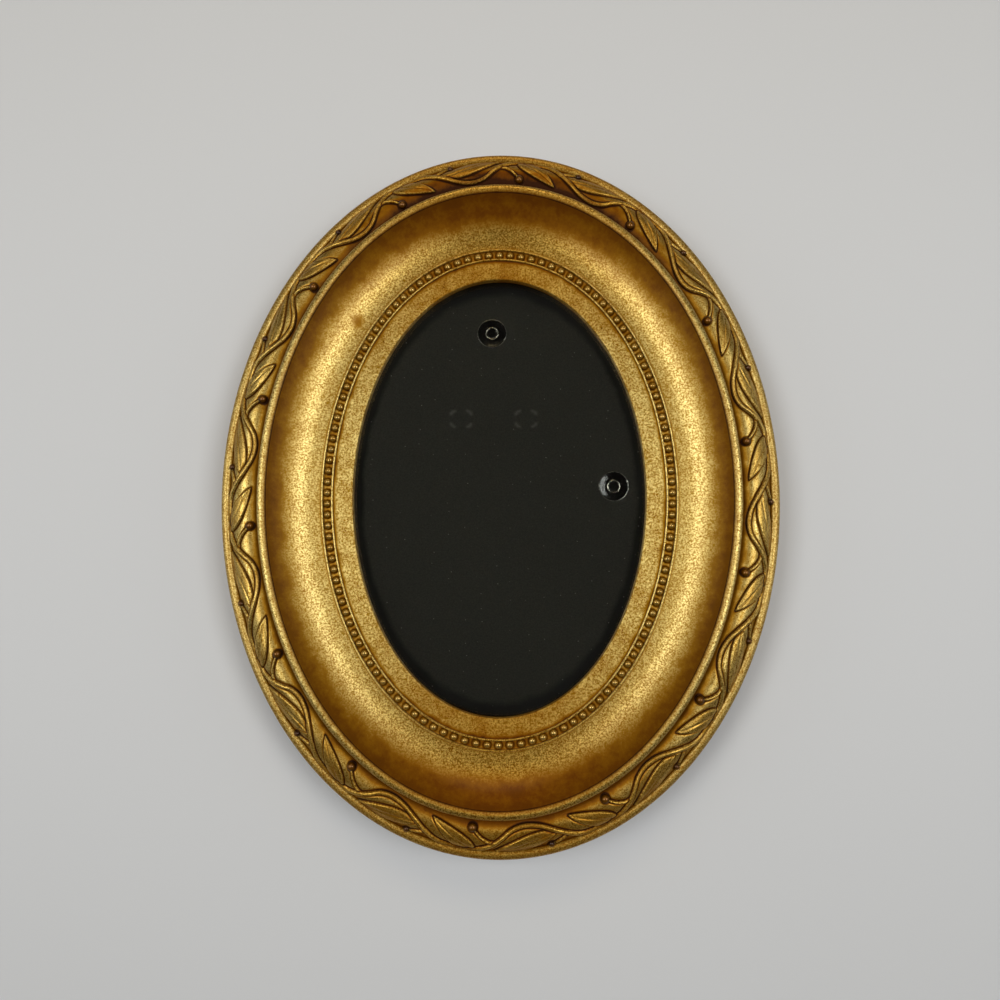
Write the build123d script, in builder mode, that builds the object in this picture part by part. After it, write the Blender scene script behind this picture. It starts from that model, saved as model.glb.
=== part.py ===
"""Oval gilded picture frame, lying on its back as it does on a table.

The moulding is a cast ring whose every section point runs round its own ellipse. A pane of glass, a
facing paper and a backing board lie in its rabbet, held by four turn buttons. The board carries a
hinged easel leg and two ring hangers, one for each way of hanging the frame.

Millimetres. The origin is the middle of the rear foot ring on the table: +X to the right of the
picture, +Y to its top, +Z out of its face.
"""

import os
from math import asin, atan2, cos, degrees, pi, sin

from build123d import *

# Sight opening, the clear oval in front of the glass
SIGHT_WIDTH = 101.6
SIGHT_HEIGHT = 152.4

# Bands of the moulding, from its rim inwards
RIM_WIDTH = 3.4
VINE_WIDTH = 9.9
RIDGE_WIDTH = 4.3
SCOOP_WIDTH = 16.0
PEARL_BAND_WIDTH = 4.9
SIGHT_BAND_WIDTH = 5.95

# Heights of the moulding's face above the table
RIM_HEIGHT = 18.7
VINE_HEIGHT = 21.7
RIDGE_GROOVE_HEIGHT = 20.6
RIDGE_HEIGHT = 25.0
SCOOP_FOOT_HEIGHT = 15.0
SIGHT_EDGE_HEIGHT = 14.0

# Small forms of the face
RIM_ROLL_RADIUS = 1.75
RIDGE_ROLL_RADIUS = 1.7
SCOOP_DROP = 2.2
FILLET_STRIP = 0.7
FILLET_STRIP_RISE = 0.3
PEARL_CHANNEL_DEPTH = 1.0
SIGHT_BAND_RISE = 0.6
SIGHT_EDGE_BEVEL = 0.5
PEARL_COUNT = 120
PEARL_DIAMETER = 3.0

# Running vine on the outer band
VINE_REPEATS = 14
VINE_PHASE = -0.092
STEM_RADIUS = 0.8
STALK_RADIUS = 0.6
STEM_RISE = 0.2
STEM_END_SINK = 1.6
INNER_BERRY_RADIUS = 1.6
OUTER_BERRY_RADIUS = 1.0
LEAF_RADIUS = 3.0
LEAF_SINK = 2.0
LEAF_SPREAD = 1.2

# Back of the moulding
BASE_INSET = 3.0
LIP_THICKNESS = 2.6
LIP_OVERLAP = 3.2
SHELF_WIDTH = 10.25

# What lies in the rabbet
GLASS_THICKNESS = 2.0
PICTURE_GAP = 0.3
PAPER_THICKNESS = 0.3
BOARD_THICKNESS = 2.4
RABBET_CLEARANCE = 0.6

# Easel leg and its hinge
HINGE_X = -2.1
HINGE_Y = 20.0
HINGE_WIDTH = 30.0
HINGE_LEAF_HEIGHT = 13.0
HINGE_LEAF_THICKNESS = 0.7
HINGE_PIN_RADIUS = 0.9
LEG_KNUCKLE_WIDTH = 13.0
KNUCKLE_GAP = 0.5
CLINCH_SPACING = 23.0
CLINCH_RISE = 6.8
CLINCH_SHANK_RADIUS = 1.5
CLINCH_HEAD_RADIUS = 2.5
CLINCH_HEAD_THICKNESS = 0.7
CLINCH_SPREAD_WIDTH = 8.0
CLINCH_SPREAD_HEIGHT = 6.5
CLINCH_SPREAD_THICKNESS = 0.5
STOP_TAB_LENGTH = 5.0
STOP_TAB_WIDTH = 10.0
LEG_LENGTH = 133.0
LEG_TOP_WIDTH = 32.0
LEG_FOOT_WIDTH = 44.0
LEG_THICKNESS = 3.0
LEG_CORNER_RADIUS = 6.0
LEG_CHANNEL_CLEARANCE = 2.0
LEG_OPEN_ANGLE = 30.0
LEG_LEAF_WIDTH = 26.0
LEG_LEAF_HEIGHT = 14.0
LEG_RIVET_SPACING = 15.0
LEG_RIVET_RADIUS = 1.25
LEG_RIVET_HEAD_RADIUS = 2.4
LEG_RIVET_HEAD_THICKNESS = 0.5

# Ring hangers
TOP_HANGER_PLACE = (-2.7, 57.9)
SIDE_HANGER_PLACE = (40.1, 2.7)
STRAP_WIDTH = 8.0
STRAP_SHEET = 0.7
STRAP_REACH = 7.5
RING_WIRE_RADIUS = 0.8
RING_SIDE = 4.5
RING_HEIGHT = 11.0
RING_BEND_RADIUS = 1.8
RIVET_RADIUS = 1.6
RIVET_BORE_RADIUS = 1.1
RIVET_HEAD_RADIUS = 3.2
RIVET_HEAD_THICKNESS = 0.8
RIVET_ROLL_RADIUS = 2.2
RIVET_ROLL_THICKNESS = 0.4
WASHER_RADIUS = 4.9
WASHER_THICKNESS = 0.5
WASHER_RIM = 0.8
WASHER_DISH = 0.2

# Turn buttons on the shelf
BUTTON_SETBACK = 4.25
BUTTON_RADIUS = 3.8
BUTTON_TIP_RADIUS = 2.8
BUTTON_REACH = 12.0
BUTTON_THICKNESS = 1.1
BUTTON_CLEARANCE = 0.1
SCREW_RADIUS = 1.4
SCREW_DEPTH = 6.0
SCREW_HEAD_RADIUS = 2.8
SCREW_HEAD_HEIGHT = 1.6
SCREW_SLOT_WIDTH = 0.7
SCREW_SLOT_LENGTH = 3.4
SCREW_SLOT_DEPTH = 0.8

# Fits
RUNNING_FIT = 0.05
LOOSE_FIT = 0.25
MOVING_GAP = 0.3

# Depths of the bands from the outline, and half sizes of the outline
vine_start = RIM_WIDTH
vine_end = vine_start + VINE_WIDTH
ridge_end = vine_end + RIDGE_WIDTH
scoop_end = ridge_end + SCOOP_WIDTH
pearl_band_end = scoop_end + PEARL_BAND_WIDTH
moulding_width = pearl_band_end + SIGHT_BAND_WIDTH
half_width = SIGHT_WIDTH / 2 + moulding_width
half_height = SIGHT_HEIGHT / 2 + moulding_width
rabbet_depth = moulding_width - LIP_OVERLAP
shelf_start = rabbet_depth - SHELF_WIDTH
pearl_depth = (scoop_end + FILLET_STRIP + pearl_band_end - FILLET_STRIP) / 2

# Levels above the table, from the lip down to the back of the board
lip_level = SIGHT_EDGE_HEIGHT - LIP_THICKNESS
glass_level = lip_level - GLASS_THICKNESS
paper_level = glass_level - PICTURE_GAP - PAPER_THICKNESS
back_level = paper_level - BOARD_THICKNESS
channel_level = SCOOP_FOOT_HEIGHT - PEARL_CHANNEL_DEPTH


def oval(depth, level=0.0):
    """The ellipse that lies at a depth inside the outline, at a level above the table."""
    return Edge.make_ellipse(half_width - depth, half_height - depth, Plane.XY.offset(level))


def oval_ring(section, curve_steps=10):
    """Solid ring from a closed section of (depth, level) edges, each section point round its ellipse."""
    stations = []
    for edge in section.edges():
        steps = 1 if edge.geom_type == GeomType.LINE else curve_steps
        stations += [edge @ (step / steps) for step in range(steps)]
    ovals = [oval(point.X, point.Y) for point in stations]
    faces = []
    for index, point in enumerate(stations):
        after = (index + 1) % len(stations)
        if abs(point.Y - stations[after].Y) < 1e-6:
            wide, narrow = sorted((index, after), key=lambda i: stations[i].X)
            faces.append(Face(Wire([ovals[wide]]), [Wire([ovals[narrow]])]))
        else:
            faces.append(Face.make_surface_from_curves(ovals[index], ovals[after]))
    return Solid(Shell(faces))


def rabbet_sheet(clearance=RABBET_CLEARANCE):
    """Ellipse radii of a sheet that drops into the rabbet."""
    return half_width - rabbet_depth - clearance, half_height - rabbet_depth - clearance


# Section of the moulding: x is the depth from the outline, y is the level above the table
rim_centre = (RIM_ROLL_RADIUS, RIM_HEIGHT - RIM_ROLL_RADIUS)
ridge_centre = ((vine_end + ridge_end) / 2 + 0.1 * RIDGE_WIDTH, RIDGE_HEIGHT - RIDGE_ROLL_RADIUS)
strip_level = SCOOP_FOOT_HEIGHT + FILLET_STRIP_RISE
with BuildLine() as section:
    rim = CenterArc(rim_centre, RIM_ROLL_RADIUS, 215, -190)
    vine_ground = ThreePointArc(
        rim @ 1,
        (vine_start + 0.55 * VINE_WIDTH, VINE_HEIGHT),
        (vine_end, RIDGE_GROOVE_HEIGHT),
    )
    ridge = CenterArc(ridge_centre, RIDGE_ROLL_RADIUS, 190, -165)
    ridge_flank = Line(vine_ground @ 1, ridge @ 0)
    scoop_chord = (ridge @ 1 + Vector(scoop_end, SCOOP_FOOT_HEIGHT)) / 2
    scoop = ThreePointArc(
        ridge @ 1,
        scoop_chord - Vector(0, SCOOP_DROP),
        (scoop_end, SCOOP_FOOT_HEIGHT),
    )
    face_end = Polyline(
        scoop @ 1,
        (scoop_end, strip_level),
        (scoop_end + FILLET_STRIP, strip_level),
        (scoop_end + FILLET_STRIP, channel_level),
        (pearl_band_end - FILLET_STRIP, channel_level),
        (pearl_band_end - FILLET_STRIP, SCOOP_FOOT_HEIGHT),
        (pearl_band_end, SCOOP_FOOT_HEIGHT),
        (pearl_band_end, SIGHT_EDGE_HEIGHT + SIGHT_BAND_RISE),
        (moulding_width - SIGHT_EDGE_BEVEL, SIGHT_EDGE_HEIGHT),
        (moulding_width, SIGHT_EDGE_HEIGHT - SIGHT_EDGE_BEVEL),
        (moulding_width, lip_level),
        (rabbet_depth, lip_level),
        (rabbet_depth, back_level),
        (shelf_start, back_level),
        (shelf_start, 0),
        (BASE_INSET, 0),
        rim @ 0,
    )
outline = [rim, vine_ground, ridge_flank, ridge, scoop, face_end]
outline_edges = ShapeList([edge for piece in outline for edge in piece.edges()])


# Running vine: u counts repeats clockwise from the right, v goes from 0 at the rim to 1 at the ridge
vine_line = oval(vine_start + VINE_WIDTH / 2)


def vine_point(u, v, rise=0.0):
    """Point on the vine ground at (u, v), raised along the ground's normal."""
    along = (-(u + VINE_PHASE) / VINE_REPEATS) % 1.0
    middle = vine_line @ along
    turn = atan2(
        middle.Y / (half_height - vine_start - VINE_WIDTH / 2),
        middle.X / (half_width - vine_start - VINE_WIDTH / 2),
    )
    foot = vine_ground @ v
    slope = vine_ground % v
    depth = foot.X - rise * slope.Y
    level = foot.Y + rise * slope.X
    return Vector((half_width - depth) * cos(turn), (half_height - depth) * sin(turn), level)


STEM_ROUTE = [(0.02, 0.0), (0.17, 0.36), (0.31, 0.76), (0.46, 0.80), (0.57, 0.40), (0.72, 0.0)]
STALK_ROUTE = [(0.585, 0.40), (0.65, 0.26), (0.73, 0.40), (0.775, 0.62)]
INNER_BERRY_PLACE = (0.776, 0.68)
OUTER_BERRY_PLACE = (0.243, 0.06)
LEAF_AXES = [((0.77, 0.10), (1.06, 0.80)), ((0.19, 0.34), (0.55, 0.30))]


def vine_route(repeat, route, end_sink):
    """Points of a stem on one repeat, with its first and last points sunk into the ground."""
    rises = [-end_sink[0]] + [STEM_RISE] * (len(route) - 2) + [-end_sink[1]]
    return [vine_point(repeat + u, v, rise) for (u, v), rise in zip(route, rises)]


def bend_radii(points, most=6.0):
    """Radius at each inner corner that its two runs leave room for, up to a most."""
    radii = []
    for before, corner, after in zip(points, points[1:], points[2:]):
        run = min((corner - before).length, (after - corner).length)
        half_turn = (corner - before).get_angle(after - corner) / 2
        radii.append(min(most, 0.45 * run * cos(half_turn * pi / 180) / sin(half_turn * pi / 180)))
    return radii


vine_forms = []
with BuildPart() as vine:
    for repeat in range(VINE_REPEATS):
        for route, radius, end_sink in (
            (STEM_ROUTE, STEM_RADIUS, (STEM_END_SINK, STEM_END_SINK)),
            (STALK_ROUTE, STALK_RADIUS, (STEM_END_SINK, 0.0)),
        ):
            points = vine_route(repeat, route, end_sink)
            with BuildLine() as stem:
                FilletPolyline(*points, radius=bend_radii(points))
            with BuildSketch(Plane(stem.line @ 0, z_dir=stem.line % 0)):
                Circle(radius)
            vine_forms.append(sweep(path=stem.line, mode=Mode.PRIVATE))
        for place, radius in (
            (INNER_BERRY_PLACE, INNER_BERRY_RADIUS),
            (OUTER_BERRY_PLACE, OUTER_BERRY_RADIUS),
        ):
            with Locations(vine_point(repeat + place[0], place[1])):
                vine_forms.append(Sphere(radius, mode=Mode.PRIVATE))
        for base, tip in LEAF_AXES:
            leaf_run = vine_point(repeat + tip[0], tip[1]) - vine_point(repeat + base[0], base[1])
            middle = (repeat + (base[0] + tip[0]) / 2, (base[1] + tip[1]) / 2)
            sunk = vine_point(*middle, -LEAF_SINK)
            leaf_plane = Plane(sunk, x_dir=leaf_run, z_dir=leaf_run.cross(vine_point(*middle) - sunk))
            half_leaf = LEAF_SPREAD * leaf_run.length / 2
            with BuildSketch(leaf_plane):
                with BuildLine():
                    Line((-half_leaf, 0), (half_leaf, 0))
                    ThreePointArc((-half_leaf, 0), (0, LEAF_RADIUS), (half_leaf, 0))
                make_face()
            vine_forms.append(revolve(axis=Axis(sunk, leaf_plane.x_dir), mode=Mode.PRIVATE))

# Places of the turn buttons: where they pivot, and the way that they point in
button_line = oval(rabbet_depth - BUTTON_SETBACK)
BUTTON_NAMES = ["upper_right", "upper_left", "lower_left", "lower_right"]
button_planes = []
for corner in range(len(BUTTON_NAMES)):
    turn = (corner + 0.5) * pi / 2
    radii = (half_width - rabbet_depth + BUTTON_SETBACK, half_height - rabbet_depth + BUTTON_SETBACK)
    inwards = Vector(-cos(turn) / radii[0], -sin(turn) / radii[1])
    pivot = Vector(radii[0] * cos(turn), radii[1] * sin(turn), back_level)
    button_planes.append(Plane(pivot, x_dir=inwards, z_dir=(0, 0, 1)))

# Cast moulding with its vine, its pearls, the leg's channel and the screw holes
leg_foot_y = HINGE_Y - LEG_LENGTH
channel_width = LEG_FOOT_WIDTH + 2 * LEG_CHANNEL_CLEARANCE
pearl_line = oval(pearl_depth, channel_level)
with BuildPart() as moulding:
    add(oval_ring(outline_edges))
    with BuildSketch(Plane.XY):
        with Locations((HINGE_X, -half_height)):
            Rectangle(channel_width, 2 * rabbet_depth)
    extrude(amount=back_level, mode=Mode.SUBTRACT)
    with Locations(*button_planes):
        Cylinder(
            SCREW_RADIUS + RUNNING_FIT,
            SCREW_DEPTH + RUNNING_FIT,
            align=(Align.CENTER, Align.CENTER, Align.MIN),
            mode=Mode.SUBTRACT,
        )
    with Locations(*[pearl_line @ (pearl / PEARL_COUNT) for pearl in range(PEARL_COUNT)]):
        Sphere(PEARL_DIAMETER / 2)
    add(vine_forms)
moulding.part.label = "moulding"

with BuildPart() as glass_pane:
    with BuildSketch(Plane.XY.offset(glass_level)):
        Ellipse(*rabbet_sheet())
    extrude(amount=GLASS_THICKNESS)
glass_pane.part.label = "glass_pane"

# Places on the board
hanger_places = {"top": (TOP_HANGER_PLACE, (0, 1, 0)), "side": (SIDE_HANGER_PLACE, (1, 0, 0))}
clinch_places = [
    (HINGE_X - CLINCH_SPACING / 2, HINGE_Y + CLINCH_RISE),
    (HINGE_X + CLINCH_SPACING / 2, HINGE_Y + CLINCH_RISE),
]
hanger_points = [place for place, reach in hanger_places.values()]
washer_seat = WASHER_THICKNESS

with BuildPart() as facing_paper:
    with BuildSketch(Plane.XY.offset(paper_level)):
        Ellipse(*rabbet_sheet())
        with Locations(*hanger_points):
            Circle(WASHER_RADIUS + LOOSE_FIT, mode=Mode.SUBTRACT)
    extrude(amount=PAPER_THICKNESS)
facing_paper.part.label = "facing_paper"

with BuildPart() as backing_board:
    with BuildSketch(Plane.XY.offset(back_level)):
        Ellipse(*rabbet_sheet())
        with Locations(*hanger_points):
            Circle(RIVET_RADIUS + RUNNING_FIT, mode=Mode.SUBTRACT)
        with Locations(*clinch_places):
            Circle(CLINCH_SHANK_RADIUS + RUNNING_FIT, mode=Mode.SUBTRACT)
    extrude(amount=BOARD_THICKNESS)
    with BuildSketch(Plane.XY.offset(paper_level)):
        with Locations(*hanger_points):
            Circle(WASHER_RADIUS + LOOSE_FIT)
    extrude(amount=-washer_seat, mode=Mode.SUBTRACT)
    with BuildSketch(Plane.XY.offset(paper_level)):
        with Locations(*clinch_places):
            Rectangle(CLINCH_SPREAD_WIDTH + LOOSE_FIT, CLINCH_SPREAD_HEIGHT + LOOSE_FIT)
    extrude(amount=-CLINCH_SPREAD_THICKNESS, mode=Mode.SUBTRACT)
backing_board.part.label = "backing_board"

# Easel hinge: the axis lies along X, under the board
knuckle_radius = HINGE_PIN_RADIUS + RUNNING_FIT + HINGE_LEAF_THICKNESS
hinge_level = back_level - knuckle_radius - MOVING_GAP
hinge_plane = Plane((HINGE_X, HINGE_Y, hinge_level), x_dir=(0, 1, 0), z_dir=(1, 0, 0))
plate_level = back_level - HINGE_LEAF_THICKNESS
fixed_knuckle = (HINGE_WIDTH - LEG_KNUCKLE_WIDTH) / 2 - KNUCKLE_GAP

with BuildPart() as hinge_fixed_leaf:
    with BuildSketch(Plane.XY.offset(plate_level)):
        with Locations((HINGE_X, HINGE_Y)):
            Rectangle(HINGE_WIDTH, HINGE_LEAF_HEIGHT, align=(Align.CENTER, Align.MIN))
        upper_corners = vertices().group_by(Axis.Y)[-1]
        fillet(upper_corners, HINGE_LEAF_HEIGHT / 5)
        with Locations((HINGE_X, HINGE_Y)):
            Rectangle(
                LEG_KNUCKLE_WIDTH + 2 * KNUCKLE_GAP,
                2 * (knuckle_radius + MOVING_GAP),
                mode=Mode.SUBTRACT,
            )
        with Locations(*clinch_places):
            Circle(CLINCH_SHANK_RADIUS + RUNNING_FIT, mode=Mode.SUBTRACT)
    extrude(amount=HINGE_LEAF_THICKNESS)
    for side in (-1, 1):
        with BuildSketch(hinge_plane.offset(side * HINGE_WIDTH / 2)):
            Circle(knuckle_radius)
        extrude(amount=-side * fixed_knuckle)
    with BuildSketch(hinge_plane.offset(-HINGE_WIDTH / 2)):
        Circle(HINGE_PIN_RADIUS + RUNNING_FIT)
    extrude(amount=HINGE_WIDTH, mode=Mode.SUBTRACT)
hinge_fixed_leaf.part.label = "hinge_fixed_leaf"

with BuildPart() as hinge_pin:
    with BuildSketch(hinge_plane.offset(-HINGE_WIDTH / 2 - HINGE_PIN_RADIUS)):
        Circle(HINGE_PIN_RADIUS)
    extrude(amount=HINGE_WIDTH + 2 * HINGE_PIN_RADIUS)
    fillet(edges().filter_by(GeomType.CIRCLE), HINGE_PIN_RADIUS / 2)
hinge_pin.part.label = "hinge_pin"

with BuildPart() as hinge_clinch_rivets:
    with BuildSketch(Plane.XY.offset(plate_level)):
        with Locations(*clinch_places):
            Circle(CLINCH_HEAD_RADIUS)
    extrude(amount=-CLINCH_HEAD_THICKNESS)
    fillet(faces().sort_by(Axis.Z)[0:2].edges(), CLINCH_HEAD_THICKNESS / 2)
    with BuildSketch(Plane.XY.offset(plate_level)):
        with Locations(*clinch_places):
            Circle(CLINCH_SHANK_RADIUS)
    extrude(amount=HINGE_LEAF_THICKNESS + BOARD_THICKNESS)
    with BuildSketch(Plane.XY.offset(paper_level)):
        with Locations(*clinch_places):
            Rectangle(CLINCH_SPREAD_WIDTH, CLINCH_SPREAD_HEIGHT)
    extrude(amount=-CLINCH_SPREAD_THICKNESS)
hinge_clinch_rivets.part.label = "hinge_clinch_rivets"

# Leg side of the hinge: a leaf on the leg, a knuckle, and a bent tab that stops the leg when open
leaf_level = hinge_level - HINGE_LEAF_THICKNESS / 2
leg_level = leaf_level - LEG_THICKNESS
leg_head_y = HINGE_Y - knuckle_radius - 2 * MOVING_GAP
tab_room = plate_level - hinge_level - HINGE_LEAF_THICKNESS / 2 - MOVING_GAP / 2
tab_angle = LEG_OPEN_ANGLE - degrees(asin(tab_room / STOP_TAB_LENGTH))
tab_run = (0, cos(tab_angle * pi / 180), -sin(tab_angle * pi / 180))
tab_plane = Plane(hinge_plane.origin, x_dir=tab_run, z_dir=hinge_plane.z_dir)
leg_rivet_places = [
    (HINGE_X + side * LEG_RIVET_SPACING / 2, leg_head_y - LEG_LEAF_HEIGHT / 2) for side in (-1, 1)
]

with BuildPart() as hinge_leg_leaf:
    with BuildSketch(Plane.XY.offset(leaf_level)):
        with Locations((HINGE_X, leg_head_y)):
            Rectangle(LEG_LEAF_WIDTH, LEG_LEAF_HEIGHT, align=(Align.CENTER, Align.MAX))
        lower_corners = vertices().group_by(Axis.Y)[0]
        fillet(lower_corners, LEG_LEAF_HEIGHT / 5)
        with Locations((HINGE_X, HINGE_Y)):
            Rectangle(LEG_KNUCKLE_WIDTH, HINGE_Y - leg_head_y, align=(Align.CENTER, Align.MAX))
        with Locations(*leg_rivet_places):
            Circle(LEG_RIVET_RADIUS + RUNNING_FIT, mode=Mode.SUBTRACT)
    extrude(amount=HINGE_LEAF_THICKNESS)
    with BuildSketch(hinge_plane.offset(-LEG_KNUCKLE_WIDTH / 2)):
        Circle(knuckle_radius)
    extrude(amount=LEG_KNUCKLE_WIDTH)
    with BuildSketch(tab_plane.offset(-STOP_TAB_WIDTH / 2)):
        Rectangle(STOP_TAB_LENGTH, HINGE_LEAF_THICKNESS, align=(Align.MIN, Align.CENTER))
    extrude(amount=STOP_TAB_WIDTH)
    with BuildSketch(hinge_plane.offset(-LEG_KNUCKLE_WIDTH / 2)):
        Circle(HINGE_PIN_RADIUS + RUNNING_FIT)
    extrude(amount=LEG_KNUCKLE_WIDTH, mode=Mode.SUBTRACT)
hinge_leg_leaf.part.label = "hinge_leg_leaf"

with BuildPart() as easel_leg:
    with BuildSketch(Plane.XY.offset(leg_level)):
        with BuildLine():
            Polyline(
                (HINGE_X - LEG_TOP_WIDTH / 2, leg_head_y),
                (HINGE_X + LEG_TOP_WIDTH / 2, leg_head_y),
                (HINGE_X + LEG_FOOT_WIDTH / 2, leg_foot_y),
                (HINGE_X - LEG_FOOT_WIDTH / 2, leg_foot_y),
                close=True,
            )
        make_face()
        fillet(vertices(), LEG_CORNER_RADIUS)
        with Locations(*leg_rivet_places):
            Circle(LEG_RIVET_RADIUS + RUNNING_FIT, mode=Mode.SUBTRACT)
    extrude(amount=LEG_THICKNESS)
easel_leg.part.label = "easel_leg"

with BuildPart() as leg_rivets:
    rivet_bottom = leg_level - LEG_RIVET_HEAD_THICKNESS
    rivet_length = LEG_THICKNESS + HINGE_LEAF_THICKNESS + 2 * LEG_RIVET_HEAD_THICKNESS
    with BuildSketch(Plane.XY.offset(rivet_bottom)):
        with Locations(*leg_rivet_places):
            Circle(LEG_RIVET_HEAD_RADIUS)
    extrude(amount=LEG_RIVET_HEAD_THICKNESS)
    with BuildSketch(Plane.XY.offset(rivet_bottom)):
        with Locations(*leg_rivet_places):
            Circle(LEG_RIVET_RADIUS)
    extrude(amount=rivet_length)
    with BuildSketch(Plane.XY.offset(rivet_bottom + rivet_length)):
        with Locations(*leg_rivet_places):
            Circle(LEG_RIVET_HEAD_RADIUS)
    extrude(amount=-LEG_RIVET_HEAD_THICKNESS)
leg_rivets.part.label = "leg_rivets"

made = [
    moulding,
    glass_pane,
    facing_paper,
    backing_board,
    hinge_fixed_leaf,
    hinge_pin,
    hinge_clinch_rivets,
    hinge_leg_leaf,
    easel_leg,
    leg_rivets,
]

# Two hangers: a strap folded round a triangular ring, and a tubular rivet spread over a dished washer
strap_thickness = 2 * STRAP_SHEET
loop_radius = RING_WIRE_RADIUS + RUNNING_FIT + STRAP_SHEET
ring_half_width = STRAP_WIDTH / 2 + MOVING_GAP + RING_BEND_RADIUS
for name, (place, reach) in hanger_places.items():
    seat = Plane((*place, back_level), x_dir=reach, z_dir=(0, 0, 1))
    eye = seat.from_local_coords(Vector(STRAP_REACH, 0, -loop_radius))
    eye_plane = Plane(eye, x_dir=reach, z_dir=Vector(reach).cross(Vector(0, 0, 1)))
    ring_plane = Plane(eye, x_dir=reach, z_dir=(0, 0, 1))

    with BuildPart() as strap:
        with BuildSketch(seat):
            SlotCenterToCenter(STRAP_REACH, STRAP_WIDTH)
            with Locations((STRAP_REACH / 2, 0)):
                Rectangle(STRAP_REACH, STRAP_WIDTH)
            with Locations((STRAP_REACH, 0)):
                Rectangle(2 * STRAP_WIDTH, STRAP_WIDTH, align=(Align.MIN, Align.CENTER), mode=Mode.SUBTRACT)
            Circle(RIVET_RADIUS + RUNNING_FIT, mode=Mode.SUBTRACT)
        extrude(amount=-strap_thickness)
        with BuildSketch(eye_plane.offset(-STRAP_WIDTH / 2)):
            Circle(loop_radius)
        extrude(amount=STRAP_WIDTH)
        with BuildSketch(eye_plane.offset(-STRAP_WIDTH / 2)):
            Circle(RING_WIRE_RADIUS + RUNNING_FIT)
        extrude(amount=STRAP_WIDTH, mode=Mode.SUBTRACT)
    strap.part.label = "hanger_strap_" + name

    with BuildPart() as ring:
        with BuildLine(ring_plane) as ring_path:
            FilletPolyline(
                (0, ring_half_width),
                (RING_SIDE, ring_half_width),
                (RING_HEIGHT, 0),
                (RING_SIDE, -ring_half_width),
                (0, -ring_half_width),
                close=True,
                radius=RING_BEND_RADIUS,
            )
        with BuildSketch(Plane(ring_path.line @ 0, z_dir=ring_path.line % 0)):
            Circle(RING_WIRE_RADIUS)
        sweep(path=ring_path.line)
    ring.part.label = "hanger_ring_" + name

    with BuildPart() as rivet:
        with BuildSketch(seat.offset(-strap_thickness)):
            Circle(RIVET_HEAD_RADIUS)
        extrude(amount=-RIVET_HEAD_THICKNESS)
        fillet(faces().sort_by(Axis.Z)[0].edges(), RIVET_HEAD_THICKNESS / 2)
        shank_top = BOARD_THICKNESS - washer_seat + WASHER_THICKNESS + RIVET_ROLL_THICKNESS
        with BuildSketch(seat.offset(-strap_thickness)):
            Circle(RIVET_RADIUS)
        extrude(amount=strap_thickness + shank_top)
        with BuildSketch(seat.offset(shank_top)):
            Circle(RIVET_ROLL_RADIUS)
        extrude(amount=-RIVET_ROLL_THICKNESS)
        fillet(faces().sort_by(Axis.Z)[-1].edges(), RIVET_ROLL_THICKNESS / 2)
        with BuildSketch(seat.offset(shank_top)):
            Circle(RIVET_BORE_RADIUS)
        extrude(amount=-shank_top - strap_thickness - RIVET_HEAD_THICKNESS, mode=Mode.SUBTRACT)
    rivet.part.label = "hanger_rivet_" + name

    with BuildPart() as washer:
        with BuildSketch(seat.offset(BOARD_THICKNESS - washer_seat)):
            Circle(WASHER_RADIUS)
            Circle(RIVET_RADIUS + RUNNING_FIT, mode=Mode.SUBTRACT)
        extrude(amount=WASHER_THICKNESS)
        with BuildSketch(seat.offset(BOARD_THICKNESS - washer_seat + WASHER_THICKNESS)):
            Circle(WASHER_RADIUS - WASHER_RIM)
            Circle(RIVET_ROLL_RADIUS, mode=Mode.SUBTRACT)
        extrude(amount=-WASHER_DISH, mode=Mode.SUBTRACT)
    washer.part.label = "hanger_washer_" + name
    made += [strap, ring, rivet, washer]

# Turn buttons: tapered plates that swing on their screws from over the board to along the shelf
button_top = -BUTTON_CLEARANCE
for name, plane in zip(BUTTON_NAMES, button_planes):
    with BuildPart() as button:
        with BuildSketch(plane.offset(button_top)):
            Circle(BUTTON_RADIUS)
            with Locations((BUTTON_REACH, 0)):
                Circle(BUTTON_TIP_RADIUS)
            make_hull()
            Circle(SCREW_RADIUS + RUNNING_FIT, mode=Mode.SUBTRACT)
        extrude(amount=-BUTTON_THICKNESS)
        chamfer(faces().sort_by(Axis.Z)[0].outer_wire().edges(), BUTTON_THICKNESS / 4)
    button.part.label = "turn_button_" + name
    made.append(button)

head_top = button_top - BUTTON_THICKNESS - BUTTON_CLEARANCE
slot_foot = head_top - SCREW_HEAD_HEIGHT
rest_on_top = (Align.CENTER, Align.CENTER, Align.MAX)
stand_on_foot = (Align.CENTER, Align.CENTER, Align.MIN)
with BuildPart() as turn_button_screws:
    with Locations(*[plane.offset(head_top) for plane in button_planes]):
        Cylinder(SCREW_HEAD_RADIUS, SCREW_HEAD_HEIGHT, align=rest_on_top)
    fillet(faces().sort_by(Axis.Z)[: len(button_planes)].edges(), SCREW_HEAD_HEIGHT / 3)
    with Locations(*[plane.offset(head_top) for plane in button_planes]):
        Cylinder(SCREW_RADIUS, SCREW_DEPTH - head_top, align=stand_on_foot)
    with Locations(*[plane.offset(slot_foot) for plane in button_planes]):
        Box(SCREW_SLOT_LENGTH, SCREW_SLOT_WIDTH, SCREW_SLOT_DEPTH, align=stand_on_foot, mode=Mode.SUBTRACT)
        Box(SCREW_SLOT_WIDTH, SCREW_SLOT_LENGTH, SCREW_SLOT_DEPTH, align=stand_on_foot, mode=Mode.SUBTRACT)
turn_button_screws.part.label = "turn_button_screws"
made.append(turn_button_screws)

os.makedirs("parts", exist_ok=True)
for piece in made:
    export_step(piece.part, f"parts/{piece.part.label}.step")
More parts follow.
